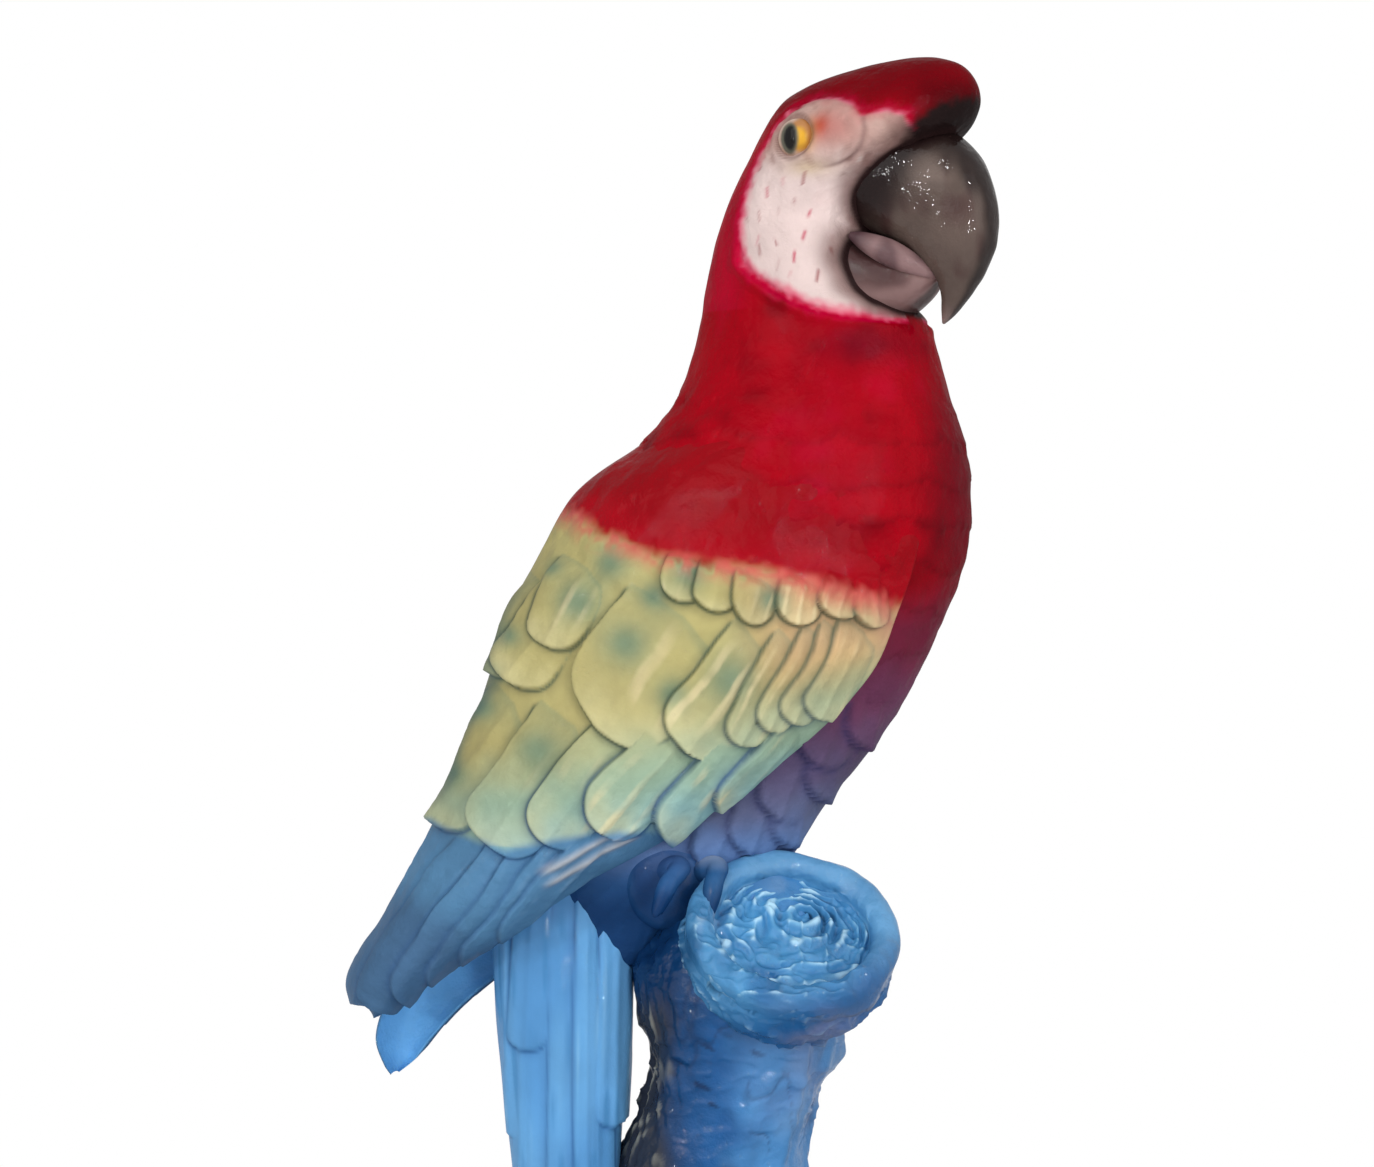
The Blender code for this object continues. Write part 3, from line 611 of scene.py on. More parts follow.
CROWN_RED = glaze_colour(128, 0, 10)
WING_RED = glaze_colour(152, 0, 18)
YELLOW = glaze_colour(172, 162, 108)
PEACH = glaze_colour(200, 158, 122)
OLIVE = glaze_colour(98, 126, 106)
PALE_GREEN = glaze_colour(140, 164, 142)
SEA_GREEN = glaze_colour(132, 170, 170)
CREAM = glaze_colour(218, 200, 158)
PRIMARY_BLUE = glaze_colour(80, 124, 160)
SLATE_BLUE = glaze_colour(66, 98, 132)
CREASE_OLIVE = glaze_colour(62, 80, 66)
CREASE_BLUE = glaze_colour(40, 72, 118)
# Where the red of the shoulder ends, and the green dabs: place, height and size
RED_EDGE = ((-60, 284), (-44, 277), (-30, 271), (-21, 267), (-7, 265), (10, 262), (24, 257), (38, 254),
            (46, 252), (53, 256))
DABS = ((-27, 242, 6.5), (-40, 253, 6), (-32, 264, 6), (-10, 261, 5.5), (1, 232, 7), (-51, 212, 6.5),
        (-58, 243, 3.5), (-67, 223, 4), (-47, 262, 3.5), (-20, 255, 4), (-74, 204, 4), (12, 254, 4),
        (-15, 228, 4.5), (-63, 233, 2.5))
feather_glaze = glaze("feather_glaze", 0.09, 0.8, 0.25, 0.14)


def paint_wing(wing):
    """Red at the shoulder, dabbed yellow below it, fading through green to the blue primaries."""
    spots = corners(wing)
    x, z = mark_values(wing, "flat_x"), mark_values(wing, "flat_z")
    crease, glaze_pool_and_shade = mark_values(wing, "crease"), mark_values(wing, "glaze_pool_and_shade")
    ridge, tone, run = mark_values(wing, "ridge"), mark_values(wing, "tone"), mark_values(wing, "run")
    cloud = lattice_noise(spots, 14, 31) * 0.6 + lattice_noise(spots, 6, 32) * 0.4
    fine = lattice_noise(spots, 2.2, 33)
    colours = np.tile(YELLOW, (len(spots), 1))
    down = z - 0.28 * (x + 21) + 5 * cloud
    brush(colours, PEACH, 0.75 * step(x, -5, 25) * step(down, 205, 235))
    brush(colours, PALE_GREEN, 1 - step(down, 204, 226))
    brush(colours, SEA_GREEN, 1 - step(down, 190, 207))
    for dab_x, dab_z, size in DABS:
        spread = np.exp(-((x - dab_x) ** 2 + (z - dab_z) ** 2) / (size * (1 + 0.3 * cloud)) ** 2)
        brush(colours, OLIVE, 0.8 * spread)
    # Pale cream streaks along the feather ridges: a painted highlight.
    streak = step(ridge + 0.15 * fine, 0.3, 0.9) * step(cloud, -0.2, 0.5) * step(run, 0.15, 0.5)
    brush(colours, CREAM, 0.6 * streak * (z > 180) * step(x + cloud * 10, -60, -25))
    # Paler towards the raised feather tips and olive near the roots, under the row above: painted light and
    # painted shade.
    brush(colours, glaze_colour(206, 200, 156), 0.4 * step(run + 0.2 * cloud, 0.6, 1) * (z > 186))
    brush(colours, OLIVE, 0.3 * (1 - step(run, 0.08, 0.4)) * step(run, 0.01, 0.05) * (z > 186))
    tips = np.interp(x, (-90, -80, -60, -45, -30, -10, 0), (191, 190, 184, 188, 191, 187, 196))
    brush(colours, PRIMARY_BLUE, 1 - step(z + 1.0 * cloud, tips - 1, tips + 2.5))
    lower = 1 - step(z, tips - 3, tips)
    brush(colours, SLATE_BLUE, 0.9 * lower * step(-z - 0.4 * x + 6 * cloud, -142, -128))
    # Paler along the ridges of the primaries: a painted highlight.
    crest_highlight = step(ridge + 0.5 * fine, 0.4, 1) * step(x, -70, -40)
    brush(colours, glaze_colour(112, 146, 176), 0.5 * lower * crest_highlight)
    # The quills painted pale: a painted highlight along them.
    brush(colours, glaze_colour(176, 178, 182), 0.8 * lower * mark_values(wing, "pale"))
    colours *= (1 + 0.07 * tone + 0.05 * fine)[:, None]
    # Dark lines at the feather edges and soft halos below them: painted shade of the steps, with pooled
    # glaze.
    line = np.clip(crease, 0, 1)
    low = step(-down, -222, -196)
    deep = 1 - 0.6 * (1 - step(z, tips - 3, tips))
    brush(colours, CREASE_OLIVE, 0.3 * glaze_pool_and_shade * (1 - low))
    brush(colours, CREASE_BLUE, 0.3 * glaze_pool_and_shade * low * deep)
    brush(colours, CREASE_OLIVE, 0.75 * line * (1 - low))
    from_rear = x - np.interp(z, *np.array([row[:2] for row in WING[::-1]]).T)
    rear_line = (1 - step(from_rear + 2 * cloud, 1, 5)) * step(z, 190, 200) * (1 - step(z, 250, 264))
    brush(colours, glaze_colour(70, 98, 96), 0.65 * rear_line)
    # Dark lines at the edges of the blue feathers: painted shade, as above.
    brush(colours, CREASE_BLUE, 0.8 * line * low * deep)
    red_line = np.interp(x, *np.array(RED_EDGE).T) + 3.5 * cloud + 1.6 * fine
    brush(colours, glaze_colour(190, 88, 80), step(cloud + fine, -0.9, 0.5) * step(z, red_line - 7, red_line))
    brush(colours, WING_RED, step(z, red_line - 1.5, red_line + 3))
    brush(colours, CROWN_RED, 0.6 * step(z, red_line + 4, red_line + 14))
    rim = step(x, 36, 50) * (1 - step(z, red_line - 4, red_line + 1)) * step(z, 225, 245)
    brush(colours, glaze_colour(176, 110, 110), 0.5 * rim)
    # The inner side of the lower wing: a light blue glaze, painted paler still as painted light, since little
    # light reaches between the wings.
    brush(colours, glaze_colour(104, 170, 224), 0.95 * mark_values(wing, "inner") * (1 - step(z, 172, 190)))
    return colours


near_wing = skin("near_wing", near_places, relief)
finish_piece(near_wing, paint_wing(near_wing), feather_glaze)
far_wing = skin("far_wing", far_places, relief)
finish_piece(far_wing, paint_wing(far_wing), feather_glaze)

# The tail: a bundle of long narrow feathers that hangs straight down beside the stump, cast with it
# at its tip. Its end, below the edge of the photograph, is finished in the same way.
# Rows down the tail: height, left edge, right edge and half the depth
TAIL = (
    (196, -58, -27, 12), (178, -62, -27, 13), (160, -64, -26.5, 13.5), (140, -63.2, -26.5, 13.5),
    (115, -61, -28.5, 13), (92, -58.5, -30, 12.5), (68, -56.5, -31, 11.5), (44, -54, -33.5, 10),
    (26, -50, -36.5, 8), (16, -46, -40, 5),
)
TAIL_POINTS = 190
TAIL_FEATHERS = (
    (-43, 17, -43, 192, 6.5), (-50, 32, -50.5, 192, 5.5), (-37, 38, -36, 192, 5), (-56, 62, -57.5, 192, 5),
    (-32.5, 105, -30, 192, 4.6), (-59.5, 102, -61.5, 192, 4.2), (-46.5, 74, -46, 192, 3.4),
    (-39.5, 88, -39, 192, 3.2), (-55, 127, -53, 192, 5),
)
rows = curve_rows(TAIL, 26)
zero = np.zeros(len(rows))
places = oval_rings(np.stack([(rows[:, 1] + rows[:, 2]) / 2, zero, rows[:, 0]], 1),
                    np.stack([(rows[:, 2] - rows[:, 1]) / 2, zero, zero], 1),
                    np.stack([zero, rows[:, 3], zero], 1), TAIL_POINTS, 2.6)
relief = blank_relief(places[..., 0])
for number, (tip_x, tip_height, root_x, root_height, half_width) in enumerate(TAIL_FEATHERS):
    lay_feather(relief, places[..., 0], places[..., 2], (tip_x, tip_height), (root_x, root_height),
                half_width, 0.15 * number + 0.2, 0.8, 0.5, number + 40)
out = ring_normals(places)
lift = np.maximum(relief["rise"], 0) * 0.9 + 0.25 * lattice_noise(places * np.array([1, 1, 0.3]), 5, 41)
tail = skin("tail", places + out * lift[..., None], relief)
spots = corners(tail)
ridge, crease, glaze_pool_and_shade = mark_values(tail, "ridge"), mark_values(tail, "crease"), mark_values(tail, "glaze_pool_and_shade")
cloud = lattice_noise(spots * np.array([1, 1, 0.3]), 9, 42)
colours = np.tile(glaze_colour(98, 158, 208), (len(spots), 1))
brush(colours, glaze_colour(74, 132, 186), 0.7 * step(cloud, -0.2, 0.7))
streak = lattice_noise(spots * np.array([1, 1, 0.12]), 2.2, 43)
# Pale streaks along the feather ridges: a painted highlight.
crest_highlight = step(ridge + 0.6 * streak, 0.4, 1.2) * step(-cloud, -0.4, 0.4)
brush(colours, glaze_colour(140, 192, 226), 0.7 * crest_highlight)
brush(colours, glaze_colour(58, 122, 174), 0.5 * step(-streak, 0.3, 0.8))
# Halos and dark lines at the feather edges: painted shade, with pooled glaze.
brush(colours, glaze_colour(60, 110, 165), 0.5 * glaze_pool_and_shade)
brush(colours, glaze_colour(42, 88, 142), 0.6 * crease)
brush(colours, glaze_colour(84, 130, 176), 0.5 * step(spots[:, 2], 158, 176))
brush(colours, glaze_colour(50, 96, 150), 0.6 * step(spots[:, 2], 172, 186))
colours *= (1 + 0.06 * mark_values(tail, "tone"))[:, None]
tail_glaze = glaze("tail_glaze", 0.08, 0.3, 0.25, 0.25)
finish_piece(tail, colours, tail_glaze)

# The stump: a hollow trunk with ridged bark that spreads into a round foot, and a sawn branch end
# with growth rings inside a rolled lip of bark, all under a running blue glaze.
# Rows up the trunk: height, left edge, right edge, half the depth, and how far it leans aside
TRUNK = (
    (-4, -66, 62, 55, 0), (6, -64, 60, 53, 0), (16, -56, 51, 46, 0), (32, -46, 40, 37, 0),
    (55, -37, 30.5, 30, 0), (78, -32, 24.5, 27, 0), (96, -28, 22.5, 26, 0), (110, -23, 25, 25, -2),
    (124, -20.5, 30, 26, -5), (138, -24.5, 34, 28, -7), (152, -25, 34, 27, -7), (166, -17, 34, 24, -4),
    (178, -8, 30, 17, -1),
)
TRUNK_POINTS = 216
BURR_AT = (33, -8, 125)
ROOT_RIDGES = 9
rows = curve_rows(TRUNK, 24)
rows = rows[rows[:, 0] >= 0]
rows[0, 0] = 0
zero = np.zeros(len(rows))
places = oval_rings(np.stack([(rows[:, 1] + rows[:, 2]) / 2, rows[:, 4], rows[:, 0]], 1),
                    np.stack([(rows[:, 2] - rows[:, 1]) / 2, zero, zero], 1),
                    np.stack([zero, rows[:, 3], zero], 1), TRUNK_POINTS, 2.1)
out = ring_normals(places)
out[..., 2] *= step(places[..., 2], 1, 12)
angle = 2 * np.pi * np.arange(TRUNK_POINTS)[None, :] / TRUNK_POINTS
ridges = np.zeros(places.shape[:2])
for ridge in range(ROOT_RIDGES):
    around = 2 * math.pi * (ridge + 0.35 * math.sin(ridge * 2.2)) / ROOT_RIDGES
    top = 118 + 24 * math.sin(ridge * 1.7)
    lean = around + 0.12 * np.sin(places[..., 2] / 17 + ridge)
    apart = np.angle(np.exp(1j * (angle - lean)))
    thick = 1.2 + 5.0 * np.clip(1 - places[..., 2] / top, 0, 1) ** 1.5
    ridges += thick * step(top - places[..., 2], 0, 12) * np.exp(-(apart * 32 / (thick + 1.5)) ** 2)
bark = lattice_noise(places * np.array([1, 1, 0.45]), 7, 51)
crack = 1 - np.abs(lattice_noise(places * np.array([1, 1, 0.5]), 5, 52)) * 3
crack = np.clip(crack, 0, 1) * step(lattice_noise(places, 13, 58), 0.05, 0.5)
leaning = places @ np.array([[1, 0, 0], [0, 1, 0], [0.35, 0.2, 1]])
hatch = lattice_noise(leaning * np.array([1, 1, 0.1]), 2.3, 53)
drips = lattice_noise(places * np.array([1, 1, 1.6]), 9, 54)
rough_left = step(-places[..., 0], 4, 20) * step(places[..., 2], 60, 100)
neck = step(places[..., 2], 92, 112) * (1 - step(places[..., 2], 146, 160))
folds = 1 - np.abs(lattice_noise(places * np.array([1, 1, 1.5]), 6, 59)) * 2
lift = ridges + 0.9 * bark - 0.6 * crack ** 2 + 0.5 * drips * neck + 0.8 * hatch * rough_left
lift = lift + neck * 0.7 * np.clip(folds, 0, 1) ** 2
lift = lift + 0.35 * lattice_noise(places, 3, 55)
burr = np.exp(-((places[..., 0] - BURR_AT[0]) ** 2 + (places[..., 2] - BURR_AT[2]) ** 2
                + (places[..., 1] - BURR_AT[1]) ** 2) / 20)
lift = (lift + 3.5 * burr) * (0.25 + 0.75 * step(places[..., 2], 0, 9))
trunk = skin("trunk", places + out * lift[..., None],
             {"crack": crack, "bark": bark, "hatch": hatch * rough_left})
STUMP_BLUE = glaze_colour(66, 126, 180)
STUMP_DEEP = glaze_colour(26, 82, 138)
STUMP_NIGHT = glaze_colour(10, 36, 72)
STUMP_GREY = glaze_colour(100, 112, 150)
BARK_BLACK = glaze_colour(46, 48, 56)
BARK_SCRATCH = glaze_colour(150, 150, 140)
spots = corners(trunk)
x, y, z = spots.T
crack, bark, hatch = mark_values(trunk, "crack"), mark_values(trunk, "bark"), mark_values(trunk, "hatch")
cloud = lattice_noise(spots, 18, 56) * 0.6 + lattice_noise(spots, 7, 57) * 0.4
colours = np.tile(STUMP_BLUE, (len(spots), 1))
brush(colours, STUMP_DEEP, step(0.8 * cloud - 0.035 * (x - 6), -0.35, 0.45))
brush(colours, STUMP_DEEP, 0.8 * step(-x, -2, 14))
brush(colours, STUMP_NIGHT, 0.85 * step(-x + 5 * cloud, 4, 18) * step(z, 60, 90))
brush(colours, STUMP_NIGHT, (0.2 + 0.4 * step(z, 50, 90)) * step(-bark, 0.1, 0.9))
dash = lattice_noise(spots @ np.array([[1, 0, 0.4], [0, 1, 0], [0.4, 0, 1]]) * np.array([0.3, 1, 1]), 2.0, 49)
on_neck = step(-np.abs(z - 118) + 8 * cloud, -20, -8) * step(-x, -16, -6)
brush(colours, STUMP_NIGHT, 0.75 * step(dash, 0.5, 0.75) * on_neck)
brush(colours, STUMP_NIGHT, 0.4 * step(crack, 0.6, 1) * step(z, 30, 80))


def blot(x, z, middle, spread):
    """A soft round patch, 1 in its middle."""
    return np.exp(-(((x - middle[0]) / spread[0]) ** 2 + ((z - middle[1]) / spread[1]) ** 2))


patch = blot(x, z, (20, 122), (13, 17)) * (y < 0)
brush(colours, STUMP_GREY, 0.6 * patch * step(cloud, -0.6, 0.2))
dark = step(-x + 3 * cloud, 12, 20) * step(z, 70, 96) * (1 - step(z, 134, 146))
brush(colours, BARK_BLACK, 0.92 * dark)
brush(colours, BARK_SCRATCH, 0.7 * dark * step(hatch, 0.25, 0.6) * step(z, 90, 105))
brush(colours, glaze_colour(114, 150, 190), 0.45 * step(bark, 0.3, 0.9) * (1 - dark) * step(x, 2, 16))
bark_glaze = glaze("bark_glaze", 0.12, 0.8, 0.22, 0.5)
finish_piece(trunk, colours, bark_glaze)

FACE_AT = np.array([18.0, -33.0, 161.0])
FACE_TILT = Vector((0.14, -0.68, 0.72)).normalized()
FACE_RADIUS = 22.0
LIP = 8.5
FACE_SQUASH = 0.93
RING_COUNT = 5
RING_HEIGHT = 1.5
RING_ASIDE = 6.0
RING_UP = 8.0
CUT_POINTS = 260
LIP_HEIGHT = 4.0
FACE_ROWS = 96
LIP_ROWS = 40
bend = np.linspace(0, math.pi, LIP_ROWS + 1)[1:]
behind = curve_rows(((0, 0), (-0.6, -5.5), (-2, -12.5), (-6, -20.5), (-12, -29.5), (-18, -37.5)), 8)[1:]
radius = np.concatenate([np.linspace(0.3, FACE_RADIUS, FACE_ROWS),
                         FACE_RADIUS + LIP / 2 * (1 - np.cos(bend)), FACE_RADIUS + LIP + behind[:, 0]])
rise = np.concatenate([np.zeros(FACE_ROWS), LIP_HEIGHT * np.sin(bend) + RING_HEIGHT,
                       behind[:, 1] + RING_HEIGHT])
across = np.array(FACE_TILT.cross(Vector((0, 0, 1))).normalized())
axis = np.array(FACE_TILT)
up = np.cross(across, axis)
slide = np.clip(1 - radius / FACE_RADIUS, 0, 1)
centres = FACE_AT + axis * rise[:, None] + (up * RING_UP - across * RING_ASIDE) * slide[:, None]
places = oval_rings(centres, across * radius[:, None], up * radius[:, None] * FACE_SQUASH, CUT_POINTS, 2)
on_face = (1 - step(radius, FACE_RADIUS - 1, FACE_RADIUS + 2))[:, None]
on_lip = (1 - on_face) * (rise > -4)[:, None]
around = 2 * np.pi * np.arange(CUT_POINTS)[None, :] / CUT_POINTS
low_left = step(np.cos(around + 0.9), -0.1, 0.7)
swirl = lattice_noise(places, 11, 61) * 0.9 + lattice_noise(places, 5, 62) * 0.5
phase = RING_COUNT * radius[:, None] / FACE_RADIUS + swirl * (0.35 + 0.8 * step(radius, 4, 16)[:, None])
rings = np.cos(2 * np.pi * phase) * (0.6 + 0.4 * lattice_noise(places, 7, 63))
chips = lattice_noise(places, 2.6, 64)
folds = np.clip(1 - np.abs(lattice_noise(places, 6, 69)) * 2.4, 0, 1) ** 1.5
folds = folds + 0.6 * np.clip(1 - np.abs(lattice_noise(places, 3.2, 60)) * 2.4, 0, 1) ** 1.5
tight = 0.6 + 0.5 * (1 - step(radius, 5, 13)[:, None])
lift = on_face * (RING_HEIGHT * rings * tight + 0.35 * chips + 1.1 * folds - 0.5)
lift = lift + on_lip * (1.2 * lattice_noise(places, 12, 65) + 0.25 * chips + 1.3 * low_left * (folds - 0.4))
lift = lift + (rise < -3)[:, None] * (1.3 * lattice_noise(places, 8, 66) + 0.4 * chips + 0.8 * folds - 0.4)
places = places + axis * (lift * (rise > -4)[:, None])[..., None]
outward = places - centres[:, None, :]
outward /= np.maximum(np.linalg.norm(outward, axis=-1, keepdims=True), 1e-6)
swell = on_lip * lattice_noise(places, 14, 67) * 1.2
places = places + outward * (lift * (rise <= -4)[:, None] + swell)[..., None]
cut_face = skin("cut_face", places, {"rings": rings * on_face, "lip": on_lip * (1 - low_left), "chips": chips,
                                     "folds": folds * (on_face + (1 - on_face) * low_left)})
spots = corners(cut_face)
rings, lip = mark_values(cut_face, "rings"), mark_values(cut_face, "lip")
chips, folds = mark_values(cut_face, "chips"), mark_values(cut_face, "folds")
x, y, z = spots.T
cloud = lattice_noise(spots, 10, 68)
colours = np.tile(glaze_colour(72, 136, 184), (len(spots), 1))
brush(colours, glaze_colour(38, 98, 150), 0.7 * step(cloud, 0.0, 0.7))
# Paler on the raised rings and folds, darker and darkest in the valleys between them: painted highlight and
# painted shade.
brush(colours, glaze_colour(118, 176, 212), 0.8 * step(rings + 0.8 * folds, 0.5, 1.4))
brush(colours, glaze_colour(34, 96, 150), 0.75 * step(-rings - 0.5 * folds, 0.2, 0.8))
brush(colours, STUMP_NIGHT, 0.85 * step(-rings + 0.5 * chips - folds, 0.5, 0.95))
brush(colours, glaze_colour(98, 152, 196), 0.85 * lip)
brush(colours, glaze_colour(58, 116, 166), 0.5 * step(-cloud, 0.1, 0.7))
below = step(-z + 0.4 * x + 4 * cloud, -146, -132)
brush(colours, STUMP_DEEP, 0.85 * below)
brush(colours, STUMP_NIGHT, 0.8 * below * step(-x + 4 * cloud, -8, 8))
brush(colours, STUMP_GREY, 0.85 * blot(x, z, (24, 136), (12, 9)) * step(cloud, -0.7, 0.1))
brush(colours, STUMP_NIGHT, 0.7 * step(-x + 3 * cloud, 7, 14) * (1 - step(z, 150, 168)))
# Darker still in the ring valleys near the middle: painted shade.
heart = blot(x, z, (22, 169), (9, 9)) * (y < -20)
brush(colours, glaze_colour(6, 30, 60), 0.9 * heart * step(-rings - 0.4 * folds + 0.3 * chips, 0.05, 0.55))
# The brightest crests of the rings and folds: painted glints, weaker underneath.
crest_highlight = step(rings + folds + 0.4 * chips, 1.0, 1.7)
brush(colours, glaze_colour(178, 216, 236), (0.75 - 0.6 * below) * crest_highlight)
# A pale patch on the curled left end of the lip: a painted highlight.
roll = blot(x, z, (-5, 172), (3.5, 7))
brush(colours, glaze_colour(190, 204, 220), 0.7 * roll * step(cloud + chips, -0.5, 0.5))
finish_piece(cut_face, colours, bark_glaze)

# The legs: two feathered thighs that sink onto the branch, each with two thick toes hooked over its
# edge. They are clay like the rest, cast in one with it.
THIGH_AT = (-15, 14, 177)
THIGH_HALVES = (15, 10.3, 16)
THIGH_RINGS = 70
THIGH_POINTS = 100
TOES = ((-13, 6), (-2.5, 2))
TOE_POINTS = 48
leg_glaze = glaze("leg_glaze", 0.12, 0.5, 0.22, 0.2)


def leg_lump(name, rings, shine):
    """Makes and paints one swelling of a leg; shine is how strongly a highlight is painted on its top."""
    lump = skin(name, rings, {})
    spots = corners(lump)
    cloud = lattice_noise(spots, 8, 71)
    colours = np.tile(glaze_colour(42, 88, 138), (len(spots), 1))
    brush(colours, glaze_colour(18, 58, 104), step(cloud, -0.1, 0.6))
    # Lighter patches, as strong as shine: a painted highlight.
    brush(colours, glaze_colour(86, 138, 184), shine * 0.5 * step(-cloud, 0.2, 0.8))
    brush(colours, glaze_colour(66, 96, 146), (shine < 0.1) * step(spots[:, 2] + 2 * cloud, 170, 190))
    brush(colours, glaze_colour(16, 48, 90), 0.85 * step(-spots[:, 2] + 3 * cloud, -182, -168))
    # A pale band along the top, as strong as shine: a painted highlight.
    brush(colours, glaze_colour(176, 190, 212), shine * step(spots[:, 2], 178, 184) * step(-cloud, -0.5, 0.3))
    finish_piece(lump, colours, leg_glaze)


for name, side in (("near", -1), ("far", 1)):
    lean = np.linspace(0.04, math.pi - 0.04, THIGH_RINGS)
    zero = np.zeros(THIGH_RINGS)
    centres = np.stack([zero + THIGH_AT[0], zero + side * THIGH_AT[1],
                        THIGH_AT[2] + THIGH_HALVES[2] * np.cos(lean)], 1)
    places = oval_rings(centres, np.stack([THIGH_HALVES[0] * np.sin(lean), zero, zero], 1),
                        np.stack([zero, THIGH_HALVES[1] * np.sin(lean), zero], 1), THIGH_POINTS, 2)
    places = places + ring_normals(places) * (0.8 * lattice_noise(places, 9, 72))[..., None]
    leg_lump("thigh_" + name, places, 0)
    for toe, (x, spread) in enumerate(TOES):
        path = curve_rows(((x - 6, side * 16 - 2, 177, 3.4), (x - 4, side * 19 - 2, 178, 3.6),
                           (x, side * 24 - 3, 179, 3.2), (x - spread * 0.5, side * 28 - 4, 175, 2.7),
                           (x - spread, side * 30.5 - 4, 168, 1.8),
                           (x - spread, side * 30.6 - 4, 166.6, 0.5)), 12)
        along = np.gradient(path[:, :3], axis=0)
        along /= np.linalg.norm(along, axis=1, keepdims=True)
        flank = np.cross(along, np.array([1.0, 0, 0]))
        flank /= np.linalg.norm(flank, axis=1, keepdims=True)
        other = np.cross(along, flank)
        knuckle = 1 + 0.08 * np.cos(np.linspace(0, 6 * math.pi, len(path)))
        thick = (path[:, 3] * knuckle)[:, None]
        places = oval_rings(path[:, :3], flank * thick, other * thick, TOE_POINTS, 2)
        leg_lump("toe_" + name + "_" + str(toe + 1), places, 0.7 * toe)

# The body and head: one smooth swelling of clay from the stump to the crown, with soft lobes of
# plumage, scallops on the belly, and bare wrinkled skin round the eye and the beak.
# Rows up the bird: height, back, front, half the depth, and how much of the head's turn is in it
BODY = (
    (150, -50, -22, 11, 0), (165, -52, 0, 16, 0), (180, -53, 18, 22, 0), (195, -56, 28.5, 27, 0),
    (210, -59, 40.5, 31, 0), (225, -60, 51, 34.5, 0), (240, -58, 58.5, 38, 0), (254, -53, 64.8, 40.5, 0),
    (268, -47, 69, 41.5, 0), (283, -39, 70.2, 40.5, 0), (297, -25, 68.6, 37.5, 0), (311, -14, 64, 33, 0),
    (323, -9.2, 61, 28.5, 0.1), (333, -6.8, 57.5, 26.5, 0.35), (340, -5.6, 50, 26, 0.6),
    (348, -4, 46, 26, 0.8),
    (358, -1.4, 45.5, 26.5, 1), (368, 2.4, 48.5, 26.5, 1), (377, 6.6, 57, 25.5, 1), (385, 10.5, 67, 23.8, 1),
    (391, 14, 70.8, 21, 1), (396, 18.5, 71, 17, 1), (400.5, 27, 69, 12.5, 1), (403.8, 39, 65.5, 7.5, 1),
    (405.6, 49, 60, 2.5, 1), (405.9, 53, 56.5, 0.8, 1),
)
BODY_POINTS = 300
# Feathers, as on the wings
BELLY_FEATHERS = (
    (-5, 178.5, 3, 196, 8), (6, 183, 13, 200, 8.5), (18, 184, 24, 201, 8), (14, 193, 22, 211, 9),
    (28, 197, 33, 213, 8), (25, 208, 33, 225, 8.5), (39, 212, 44, 228, 8),
)
# Outlines on the head, forward of its axis and up: the bare skin, and the dark root of the beak
FACE_EDGE = ((10.2, 394.1), (18.4, 393.6), (23.9, 391.7), (26.9, 388.8), (33.5, 389.6), (38.6, 388.3),
             (41.6, 377.5), (34.7, 357.9), (34.7, 332.4), (30.8, 331.7), (22, 333), (11.8, 335.3),
             (3.6, 339.3), (-4.9, 345), (-9, 349.1), (-10, 357.9), (-8, 369.3), (-4.4, 380.4),
             (1.2, 390.2))
CERE_EDGE = ((34, 370), (37, 381), (41, 387), (46, 390.5), (52, 393.5), (57, 395.5), (60, 388),
             (60, 368), (40, 360))
# Short painted marks on the skin: place forward, height and slant
FACE_DASHES = ((-3.5, 374.6, 1), (4.8, 370.2, 0), (10.7, 371.1, 1), (3.4, 362.3, 0), (11.2, 361.3, 1),
               (-6.5, 360.4, -1), (-2.5, 361.3, 0), (9.7, 355.5, 1), (15.6, 355, 0), (15.6, 351.5, -1),
               (-3, 354.5, 1), (-2.5, 351.5, 0), (2.4, 353.5, -1), (6.3, 344.7, 1), (13.2, 344.2, 0),
               (2.9, 347.1, 1), (-0.1, 367.7, 0), (7.8, 364.8, 0), (19, 359.9, -1), (7.3, 349.6, 0))


def outline_distance(x, y, outline):
    """Distance to a closed outline, below zero inside it."""
    nearest = np.full(x.shape, 1e9)
    inside = np.zeros(x.shape, bool)
    for index in range(len(outline)):
        (ax, ay), (bx, by) = outline[index - 1], outline[index]
        squared = (bx - ax) ** 2 + (by - ay) ** 2
        share = np.clip(((x - ax) * (bx - ax) + (y - ay) * (by - ay)) / squared, 0, 1)
        nearest = np.minimum(nearest, np.hypot(x - ax - share * (bx - ax), y - ay - share * (by - ay)))
        crosses = ((ay > y) != (by > y)) & (x < (bx - ax) * (y - ay) / (by - ay + 1e-12) + ax)
        inside ^= crosses
    return np.where(inside, -nearest, nearest)


def scallops(across, height, wide, tall):
    """Soft overlapping lobes in rows: how far a place is from the middle of its lobe to its rim."""
    row = np.floor(height / tall)
    result = np.zeros(across.shape)
    done = np.zeros(across.shape, bool)
    for upper in (2, 1, 0):
        level = row + upper
        shift = np.where(level % 2 == 0, 0.0, 0.5)
        column = (np.floor(across / wide + shift) + 0.5 - shift) * wide
        far = np.hypot(across - column, height - level * tall) / (tall * 1.25)
        here = (far < 1) & ~done & (height < level * tall + tall * 0.4)
        result = np.where(here, far, result)
        done |= here
    return result


